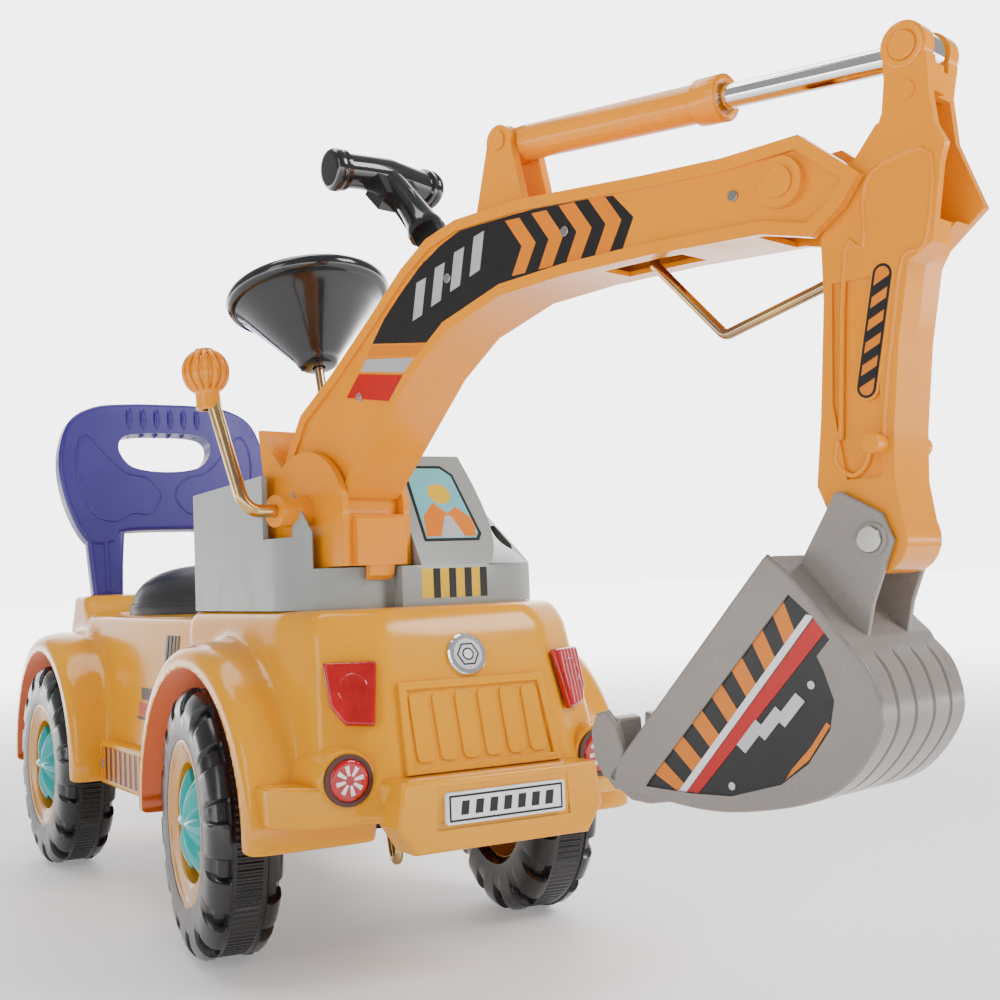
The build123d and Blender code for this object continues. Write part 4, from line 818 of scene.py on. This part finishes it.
def backrest():
    """Blown backrest: swollen rim, hand hole with finger ridges, a groove line and two posts."""
    lean = radians(8)
    half = 11
    foot = Vector((0, (tail_y - 26) * MM, rear_deck_z * MM))
    sheet = Sheet(foot, (1, 0, 0), (0, sin(lean), cos(lean)))
    outer = curved([(-52, 64), (-60, 53), (-86, 53), (-106, 92), (-112.5, 140), (-101, 181), (-74, 199),
                    (-36, 203.5), (0, 204), (36, 203.5), (74, 199), (101, 181), (112.5, 140), (106, 92),
                    (86, 53), (60, 53), (52, 64), (0, 66)], 5)
    back = plate("backrest", sheet, outer, -half, half, back_purple, "base", 6.5, segments=5)
    hole = curved([(-50, 152), (-46, 165), (-30, 170), (0, 171), (30, 170), (46, 165), (50, 152), (40, 136),
                   (22, 130), (0, 128.5), (-22, 130), (-40, 136)], 4)
    carve(back, [plate("hand_hole", sheet, hole, -30, 30, back_purple, None)])
    smooth(back, 40)
    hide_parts("seatback")
    post = [(47, 70), (51, 30), (53, -4), (84, -4), (86, 30), (88, 70)]
    loop = [(8, 104), (22, 122), (44, 128), (66, 150), (84, 168), (94, 150), (93, 118), (80, 84), (58, 76),
            (40, 84), (20, 84)]
    for side, name in ((1, "left"), (-1, "right")):
        plate(f"back_post_{name}", sheet, to_side(side, post), -9.5, 9.5, back_purple, "base", 5.5,
              segments=4)
        flute = [sheet.at(side * 69, z, 9.0) for z in (2, 20, 40, 58)]
        rope(f"post_flute_{name}", flute, 2.4, back_purple, "base")
        for tag, face in (("front", half - 0.3), ("rear", 0.3 - half)):
            bead = [sheet.at(u, v, face) for u, v in curved(to_side(side, loop), 5)]
            rope(f"back_bead_{name}_{tag}", bead, 1.3, back_purple, "base", closed=True)
    bends = [radians(-100 + 20 * i) for i in range(11)]
    for k in range(6):
        u = -37 + k * 14.8
        ridge = [sheet.at(u, 186.5 + 15.5 * sin(bend), 11.2 * cos(bend)) for bend in bends]
        rope(f"finger_ridge_{k}", ridge, 3.1, back_purple, "base")


# ------------------------------------------------------------------ steering wheel
def steering_wheel():
    """Deep dished wheel: fat rim, smooth cone and a rounded foot."""
    axis = Vector(hinges["steering_turn"]["axis"])
    centre = Vector(hinges["steering_turn"]["pos_m"])
    profile = [(5.5, -64), (12, -64), (15.5, -62.5), (17.5, -59), (19.5, -55), (38, -33), (54, -14),
               (60.5, -7)]
    profile += [(61 + 7 * cos(a), 7 * sin(a)) for a in [radians(-80 + 20 * i) for i in range(15)]]
    profile += [(52, -10), (36, -30), (20, -50), (16.5, -52), (16.5, -11), (15.5, -10), (0, -10)]
    dish = turned("steering_dish", centre, axis, profile, gloss_black, "steering", 96, 50)
    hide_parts("steering_wheel")
    soften("horn_button", 1.0, gloss_black)


# ------------------------------------------------------------------ wheels
def tread(corner, hub, outward, side, body):
    """Blown tyre with staggered shoulder blocks and a ribbed middle."""
    half, radius, bead = 26.0, 95.0, 56.1
    steps, blocks, block_depth, block_inward, rib_depth = 480, 15, 6.2, 1.8, 0.9
    crown, shoulder, rib_edge = 93.8, 93.6, 93.4
    flank = [(bead, 5), (bead + 3, 1), (bead + 10, 0), (74, 0), (80, 0), (85, 1), (89.5, 3.0), (93, 6.0),
             (radius, 9.5)]
    middle_band = [(radius, 13.5), (radius, 12.3), (shoulder, 11.6), (rib_edge, 9.2), (crown, 8.6)]
    profile = [(r, -half + w) for r, w in flank] + [(r, -w) for r, w in middle_band] + [(crown, 0)]
    profile += [(r, w) for r, w in reversed(middle_band)] + [(r, half - w) for r, w in reversed(flank)]
    mesh = bmesh.new()
    rings = []
    for i in range(steps):
        angle = 2 * pi * i / steps
        out = side * cos(angle) + UP * sin(angle)
        ring = []
        for r, w in profile:
            turn = i / steps * blocks + (0.5 if w > 0 else 0.0)
            wave = abs((turn % 1.0) - 0.5) * 2
            groove = min(1.0, max(0.0, (wave - 0.60) / 0.09))
            depth = 0.0
            inward = 0.0
            if abs(w) > 12.4 and r > 79:
                depth = block_depth * groove * min(1.0, (r - 79) / 8)
                inward = block_inward * groove if abs(w) > 20 else 0.0
            elif abs(w) < 9:
                depth = rib_depth * (i % 4 < 2)
            across = w - inward if w > 0 else w + inward
            ring.append(mesh.verts.new(hub + outward * across * MM + out * (r - depth) * MM))
        rings.append(ring)
    for i in range(steps):
        first, second = rings[i], rings[(i + 1) % steps]
        for k in range(len(profile) - 1):
            mesh.faces.new((first[k], first[k + 1], second[k + 1], second[k]))
        mesh.faces.new((first[-1], first[0], second[0], second[-1]))
    bmesh.ops.recalc_face_normals(mesh, faces=mesh.faces)
    tyre = smooth(piece_from(f"{corner}_tread", mesh, tyre_black, body), 34)
    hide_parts(f"{corner}_tyre")


def rim(corner, hub, outward, side, body):
    """Rim with a rolled lip and six tabs over the tyre's bead."""
    profile = [(43, 10), (44, 19), (46, 20.6), (50, 21), (55, 21.4), (57.5, 22.4), (58.5, 23.5), (58.5, 24.6),
               (56.5, 25), (53.5, 24), (50.5, 22.5), (46, 22), (42.5, 20.4), (41, 10)]
    turned(f"{corner}_rim_ring", hub, outward, profile, rim_yellow, body, 72)
    for k in range(6):
        angle = 2 * pi * k / 6 + 0.3
        out = side * cos(angle) + UP * sin(angle)
        tab = Sheet(hub + out * 57 * MM + outward * 23.5 * MM, outward.cross(out), out)
        outline = [(-6, -4), (6, -4), (4.6, 3.6), (-4.6, 3.6)]
        plate(f"{corner}_tab_{k}", tab, outline, -1, 2.0, rim_yellow, body, 0.7)


def star_cap(corner, hub, outward, side, body):
    """Hub cap whose ridges run out to six points."""
    count, crown_out = 96, 25.2
    mesh = bmesh.new()
    rings = [[mesh.verts.new(hub + outward * crown_out * MM)]]
    for share in (0.12, 0.25, 0.42, 0.6, 0.78, 0.92, 1.0, 1.02):
        ring = []
        for i in range(count):
            angle = 2 * pi * i / count
            lobe = (0.5 + 0.5 * cos(6 * angle)) ** 1.5
            r = share * (23 + 17.5 * lobe)
            ridge = 3.0 * lobe * (share * (1 - share)) * 3.4
            tuck = 5.5 if share > 1 else 0.0
            height = 25.0 - 8.0 * share ** 2 + ridge - tuck
            out = side * cos(angle) + UP * sin(angle)
            ring.append(mesh.verts.new(hub + out * r * MM + outward * height * MM))
        rings.append(ring)
    for low, high in zip(rings, rings[1:]):
        for i in range(count):
            j = (i + 1) % count
            corners = [low[0], high[i], high[j]] if len(low) == 1 else [low[i], high[i], high[j], low[j]]
            mesh.faces.new(corners)
    mesh.faces.new(rings[-1])
    bmesh.ops.recalc_face_normals(mesh, faces=mesh.faces)
    star = smooth(piece_from(f"{corner}_star", mesh, cap_cyan, body), 28)
    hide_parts(f"{corner}_hubcap")


def wheel(corner):
    """Tyre, rim and cap, turned to face outwards."""
    joint = hinges[f"{corner}_spin"]
    hub = Vector(joint["pos_m"])
    outward = Vector(joint["axis"])
    if outward.x * hub.x < 0:
        outward.negate()
    side = UP.cross(outward).normalized()
    for part in (tread, rim, star_cap):
        part(corner, hub, outward, side, f"wheel_{corner}")
    soften(f"{corner}_rim", 0, rim_yellow)


# ------------------------------------------------------------------ digging arm
def boom():
    """Boom halves, their screws, the printed field with arrows and the colour bands."""
    for node in ("boom_shell_left", "boom_shell_right"):
        soften(node, 0.9, arm_orange, 3)
    black = [(75, 419), (130, 412), (143, 420), (160, 427), (175, 431), (200, 438), (238, 440.5), (292, 441),
             (301, 458), (287, 473), (249, 478), (203, 478.5), (162, 478), (144, 472), (124, 462), (105, 448),
             (88, 434)]
    shapes = [(black, ink_black)]
    chevron = [(0, 476), (12, 475.5), (24.5, 458), (15, 441.5), (4, 441.5), (13, 458)]
    for start in (202, 224, 246, 268):
        shapes.append(([(start + u, v) for u, v in chevron], ink_orange))
    for k in range(4):
        u = 116 + k * 18
        v = 428 + k * 6.5
        shapes.append(([(u, v), (u + 9, v + 2.6), (u + 14, v + 26), (u + 5, v + 24)], ink_silver))
    shapes.append(([(74, 417.5), (128, 411), (122, 405), (70, 411)], ink_orange))
    shapes.append(([(68.5, 409.5), (120.5, 403.5), (112, 395), (62.5, 402)], ink_silver))
    shapes.append(([(61, 400.5), (110, 393.5), (95, 378), (47, 386)], ink_red))
    arm_print("boom_print", 21.5, shapes, "boom")
    soften("boom_screws", 0.3, screw_steel)
    soften("stick_pin", 0.6, arm_orange)
    soften("barrel_pin", 0.6, arm_orange)
    soften("lever_rod", 0, bronze_steel)


def lever_knob():
    """Ball of upright ribs round a core, on a short neck."""
    knob = frame["nodes"]["lever_knob"]
    points = [knob.matrix_world @ vert.co for vert in knob.data.vertices]
    low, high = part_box("lever_knob")
    slice_height = 2 * MM
    lowest = [point for point in points if point.z < low.z + slice_height]
    highest = [point for point in points if point.z > high.z - slice_height]
    foot = sum(lowest, Vector()) / len(lowest)
    crown = sum(highest, Vector()) / len(highest)
    axis = (crown - foot).normalized()
    core = (crown - foot).length / MM - 16.5
    core_radius, rib_radius = 14.2, 14.6
    profile = [(4.5, 0.3), (8.2, 0.3), (8.6, 1.5), (8.2, core - 15), (9.5, core - 13)]
    profile += [(core_radius * cos(a), core + core_radius * sin(a))
                for a in [radians(-55 + 12 * i) for i in range(12)]]
    ball = turned("knob_core", foot, axis, profile + [(0, core + 14.4)], arm_orange, "boom", 48,
                  40)
    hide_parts("lever_knob")
    side = axis.orthogonal().normalized()
    for k in range(14):
        angle = 2 * pi * k / 14
        out = side * cos(angle) + axis.cross(side) * sin(angle)
        bends = [radians(-58 + 13 * i) for i in range(11)]
        rib = [foot + (out * rib_radius * cos(a) + axis * (core + rib_radius * sin(a))) * MM for a in bends]
        rope(f"knob_rib_{k}", rib, 1.9, arm_orange, "boom")
    cap = [(0, 0), (6.5, 0), (7, 1), (6.2, 2.6), (3, 3.2), (0, 3.2)]
    turned("knob_cap", foot + axis * (core + 13.2) * MM, axis, cap, arm_orange, "boom", 32)


def yoke():
    soften("yoke", 1.6, arm_orange, 3)
    paint("swing_bolt", screw_steel)


def cylinder():
    """Barrel, bright rod and their pins."""
    soften("cylinder_barrel", 0, arm_orange)
    soften("cylinder_rod", 0.4, bright_steel)
    soften("rod_pin", 0.8, arm_orange)


def stick():
    """Stick halves with raised beads, a printed slot and the peg."""
    for node in ("stick_shell_left", "stick_shell_right"):
        soften(node, 1.4, arm_orange, 3)
    soften("stick_peg", 0.8, arm_orange)
    bead_out = stick_half - 0.5
    front = [(421.6, 322), (429, 414), (439.4, 415), (442, 446)]
    crowns = {"right": [(458, 454.5), (477.5, 452), (472, 411), (460, 406)],
              "left": [(456, 453), (468, 446), (463, 414), (458, 404)]}
    back = [(452, 368), (447.5, 341.7), (445, 319)]
    hollow = [(419.5, 322), (418.8, 311), (426.8, 303.8), (434.8, 309), (437.8, 320)]
    boss = [(0, -1), (11, -1), (11, 0.6), (10.2, 1.1), (8, 1.1), (7.2, 0.4), (0, 0.4)]
    for tag, plane, side in arm_sides:
        border = curved(to_side(side, front + crowns[tag] + back), 3, closed=False)
        rope(f"stick_border_{tag}", [plane.at(u, v, bead_out) for u, v in border], 1.5, arm_orange, "stick")
        lower = curved(to_side(side, hollow), 4, closed=False)
        rope(f"stick_hollow_{tag}", [plane.at(u, v, bead_out) for u, v in lower], 1.4, arm_orange, "stick")
        turned(f"eye_boss_{tag}", plane.at(side * 466, 508, stick_half), plane.out, boss, arm_orange, "stick",
               36)
    stick_slot()


def stick_slot():
    """Printed slot down the stick: round at both ends, striped, on a raised seat."""
    top, foot, wide, stripes = Vector((449, 400)), Vector((437.5, 346)), 5.2, 5
    along = (foot - top).normalized()
    across = Vector((-along.y, along.x))
    heading = atan2(across.y, across.x)

    def slot_line(radius):
        return circle(top, radius, 12, heading + pi, -pi) + circle(foot, radius, 12, heading, -pi)

    shapes = [(slot_line(wide), ink_black), (slot_line(wide - 1.4), ink_orange)]
    length = (foot - top).length
    for k in range(stripes):
        at = top + along * (length * (k + 0.1) / stripes)
        corners = [at - across * 4 + along * 5, at + across * 4 - along * 1, at + across * 4 + along * 4.6,
                   at - across * 4 + along * 10.6]
        shapes.append((corners, ink_black))
    for tag, plane, side in arm_sides:
        plate(f"slot_seat_{tag}", plane, to_side(side, slot_line(wide + 1.3)), stick_panel - 0.5,
              stick_half + 0.2, arm_orange, "stick", 0.6)
    arm_print("stick_print", stick_half + 0.2, shapes, "stick")


def hand_controls():
    """Bowed T-handle with ringed ends on a stem that swells where it meets the grip."""
    grip = [(-46, 9.5), (-45.2, 12.5), (-43.5, 14), (-40, 14.3), (-38.6, 13.2), (-37.6, 13.6), (-35, 13.6),
            (-34, 11.6), (-20, 11.4), (0, 12.6), (20, 11.4), (34, 11.6), (35, 13.6), (37.6, 13.6),
            (38.6, 13.2), (40, 14.3), (43.5, 14), (45.2, 12.5), (46, 9.5)]
    spots = [arm.at(65 + 4 * (1 - (out / 46) ** 2), 535 + 2.5 * (1 - (out / 46) ** 2), out)
             for out, radius in grip]
    handle = tube("handle_grip", spots, [radius for out, radius in grip], gloss_black, "handle")
    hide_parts("t_handle_grip")
    neck = curved([(66, 535), (78, 528), (92, 514), (104, 499), (110, 490)], 4, closed=False)
    count = len(neck) - 1
    radii = [13.0 - 4.0 * sin(pi * min(1.0, i / count * 1.15)) ** 0.8 for i in range(count + 1)]
    tube("handle_neck", [arm.at(u, v) for u, v in neck], radii, gloss_black, "handle")
    soften("t_handle_stem", 1.6, gloss_black, 3)
    soften("pull_link", 0, bronze_steel)


bucket_panel = [(403, 247), (312, 151), (309, 147), (338, 145.5), (364, 146), (394, 154), (410, 165),
                (423, 182), (426, 196), (421, 210), (417.5, 217), (425, 225), (416, 236)]
bucket_neck = [(394, 266), (400, 260), (406, 254), (420, 238.5), (427, 231), (432, 225.5)]
bucket_belly = [(434, 223), (446, 209), (450.5, 188), (442.5, 170), (426, 153.5), (404, 144.5), (371, 138.5),
                (345, 137.5), (313, 141)]
bucket_path = [Vector(point) for point in bucket_neck + curved(bucket_belly, 5, closed=False)]


def bucket_sheet():
    """Back sheet of the bucket, with four pressed grooves."""
    thick, groove_depth, half = 3.4, 1.3, 40.5
    grooves = (-26.0, -9.0, 9.0, 26.0)
    flats = {-half, half, -34.0, -17.0, 0.0, 17.0, 34.0}
    across = sorted(flats | {centre + shift for centre in grooves for shift in (-1.6, -0.7, 0.7, 1.6)})
    last = len(bucket_path) - 1
    mesh = bmesh.new()
    outer, inner = [], []
    for index, point in enumerate(bucket_path):
        along = (bucket_path[min(index + 1, last)] - bucket_path[max(index - 1, 0)]).normalized()
        normal = Vector((-along.y, along.x))
        bulge = 0.9 if index in (5, 6) else 0.0
        row_out, row_in = [], []
        for out in across:
            sunk = 0.0
            if 8 < index < last - 3 and min(abs(out - centre) for centre in grooves) < 1.0:
                sunk = groove_depth
            spot = point + normal * (bulge - sunk)
            row_out.append(mesh.verts.new(arm.at(spot.x, spot.y, out)))
            deep = point - normal * thick
            row_in.append(mesh.verts.new(arm.at(deep.x, deep.y, out)))
        outer.append(row_out)
        inner.append(row_in)
    width = len(across)
    for rows in (outer, inner):
        for low, high in zip(rows, rows[1:]):
            for k in range(width - 1):
                mesh.faces.new((low[k], low[k + 1], high[k + 1], high[k]))
    for k in range(width - 1):
        mesh.faces.new((outer[0][k], outer[0][k + 1], inner[0][k + 1], inner[0][k]))
        mesh.faces.new((outer[-1][k], outer[-1][k + 1], inner[-1][k + 1], inner[-1][k]))
    for k in (0, width - 1):
        for i in range(last):
            mesh.faces.new((outer[i][k], outer[i + 1][k], inner[i + 1][k], inner[i][k]))
    bmesh.ops.recalc_face_normals(mesh, faces=mesh.faces)
    sheet = smooth(piece_from("bucket_back", mesh, bucket_grey, "scoop"), 30)
    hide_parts("bucket")


def bucket_side(name, face, side):
    """Cheek with a sunk panel, corner tooth, and the ear with its ringed hole."""
    front = [(391, 267), (388, 264.5), (284, 153), (282.5, 148), (287, 143.5), (300, 142.5)]
    outline = front + [tuple(point) for point in reversed(bucket_path[1:])]
    shield = [(289, 146), (279, 150), (273, 160), (271.5, 174), (276, 184), (283, 186), (290, 178),
              (294, 164)]
    ear = [(419, 296), (423, 296), (444, 284.5), (449.5, 271), (437, 241), (432.5, 222), (400, 256),
           (398, 263)]
    ring = [(5.4, -0.5), (9, -0.5), (8.6, 0.9), (7.6, 1.3), (6.2, 1.2), (5.4, 0.6)]
    hole, ear_outer = (side * 438, 272), ear_inner + 4
    cheek = plate(f"bucket_cheek_{name}", face, to_side(side, outline), 37.5, 42, bucket_grey, "scoop", 1.9,
                  segments=4)
    carve(cheek, [plate(f"pocket_{name}", face, to_side(side, bucket_panel), 40.4, 46, bucket_grey, None)])
    smooth(cheek, 34)
    plate(f"corner_tooth_{name}", face, to_side(side, shield), 36.5, 42, bucket_grey, "scoop", 1.8)
    ears = plate(f"bucket_ear_{name}", face, to_side(side, ear), ear_inner, ear_outer, bucket_grey, "scoop",
                 1.1)
    carve(ears, [plate(f"ear_hole_{name}", face, circle(hole, 5.2, 32), 10, 40, bucket_grey, None)])
    smooth(ears, 34)
    turned(f"ear_ring_{name}", face.at(*hole, ear_outer), face.out, ring, bucket_grey, "scoop", 36)


def bucket():
    """Bucket: grooved back sheet, two sides, teeth, bolt and the prints on its cheeks."""
    bucket_sheet()
    for name, face, side in arm_sides:
        bucket_side(name, face, side)
    soften("bucket_teeth", 1.6, bucket_grey, 3)
    soften("bucket_bolt", 0.6, screw_steel)
    shapes = [(bucket_panel, ink_black)]
    pitch, bar = 0.142, 0.07
    for k in range(7):
        t = 0.03 + pitch * k
        left = [(402 - 92 * s, 246.5 - 97 * s) for s in (t, t + bar)]
        right = [(414 - 84 * s, 236 - 90.5 * s) for s in (t + bar, min(t + pitch, 1.0))]
        shapes.append(([left[0], left[1], right[1], right[0]], ink_orange))
    shapes.append(([(412, 237), (416, 236), (335, 146), (330, 146)], ink_white))
    shapes.append(([(416.5, 235.5), (422.5, 229), (343, 146), (335.5, 146)], ink_red))
    shapes.append(([(422.5, 184), (410, 167), (396, 156.5), (400, 162), (411, 173), (420.5, 185.5)],
                   ink_orange))
    for k in range(3):
        block = [(368, 172), (373, 168), (385, 181), (380, 185)]
        shapes.append(([(u + k * 12, v + k * 7) for u, v in block], ink_silver))
    for spot in ((413, 203), (364, 151)):
        shapes.append((circle(spot, 2.0, 16), ink_silver))
    arm_print("bucket_print", 40.4, shapes, "scoop")


def underside():
    """Black chassis pieces and the steel crank."""
    for node in ("chassis_pan", "front_axle_beam", "tie_rod", "steering_knuckle_left",
                 "steering_knuckle_right"):
        soften(node, 0, chassis_black)
    soften("rear_axle", 0, screw_steel)
    soften("steering_column", 0, bronze_steel)
    soften("body_screws", 0.5, screw_steel)


body_shell()
bumper()
running_boards()
side_marks()
lamp_housings()
headlamps()
nose_trim()
console()
seat()
backrest()
steering_wheel()
for corner in ("front_left", "front_right", "rear_left", "rear_right"):
    wheel(corner)
boom()
lever_knob()
yoke()
cylinder()
stick()
hand_controls()
bucket()
underside()

# ------------------------------------------------------------------ floor, light and camera
floor_finish = Finish("pale_floor", Roughness=0.6, Specular_IOR_Level=0.2, Emission_Strength=1.0)
floor_finish.feed("Base Color", floor_finish.blend(floor_finish.noise(3.0, 2.0), rgb(0.88, 0.88, 0.88),
                                                   rgb(0.86, 0.86, 0.865)))
away = floor_finish.node("ShaderNodeVectorMath", {"operation": "LENGTH"}, {0: floor_finish.place()}, output=1)
glow = floor_finish.node("ShaderNodeMapRange", {"interpolation_type": "SMOOTHSTEP"},
                         {"Value": away, "From Min": 0.7, "From Max": 4.0, "To Min": 0.0, "To Max": 1.0})
floor_finish.feed("Emission Color", floor_finish.blend(glow, rgb(0.28, 0.28, 0.28), rgb(4.5, 4.5, 4.5)))
mesh = bmesh.new()
bmesh.ops.create_grid(mesh, x_segments=1, y_segments=1, size=30.0)
floor = piece_from("floor", mesh, floor_finish.material, None)

world = bpy.data.worlds.new("studio")
bpy.context.scene.world = world
world.use_nodes = True
sky = Nodes(world.node_tree)
background = sky.tree.nodes["Background"]
towards = sky.node("ShaderNodeTexCoord", output="Generated")
facing = sky.node("ShaderNodeVectorMath", {"operation": "DOT_PRODUCT"}, {0: towards, 1: (0.508, 0.861, 0.0)},
                  output="Value")
bright = sky.node("ShaderNodeMapRange", {"interpolation_type": "SMOOTHSTEP"},
                  {"Value": facing, "From Min": 0.55, "From Max": 0.9, "To Min": 0.42, "To Max": 5.0})
sky.tree.links.new(bright.socket, background.inputs["Strength"])
background.inputs["Color"].default_value = (1, 1, 1, 1)


def softbox(name, place, target, size, power):
    light = bpy.data.lights.new(name, "AREA")
    light.shape = "RECTANGLE"
    light.size, light.size_y = size
    light.energy = power
    lamp = bpy.data.objects.new(name, light)
    bpy.context.scene.collection.objects.link(lamp)
    lamp.location = place
    lamp.rotation_euler = (Vector(target) - Vector(place)).to_track_quat("-Z", "Y").to_euler()


softbox("key", (1.3, -1.5, 1.7), (0, 0.05, 0.25), (0.9, 0.9), 40)
softbox("fill", (-2.0, -0.9, 1.0), (0, 0.1, 0.3), (0.8, 1.4), 12)
softbox("top", (-0.2, 0.5, 2.2), (0, 0.1, 0.2), (1.6, 0.8), 20)

camera_data = bpy.data.cameras.new("camera")
camera_data.lens = 51.03
camera_data.sensor_width = 36
camera = bpy.data.objects.new("camera", camera_data)
bpy.context.scene.collection.objects.link(camera)
right, up = Vector((0.8616, -0.5061, -0.0375)), Vector((0.0045, -0.0662, 0.9977))
forward = Vector((0.5075, 0.8598, 0.0548))
turned_to = Matrix((right, up, -forward)).transposed().to_4x4()
camera.matrix_world = Matrix.Translation((-0.4632, -0.9850, 0.2602)) @ turned_to
bpy.context.scene.camera = camera
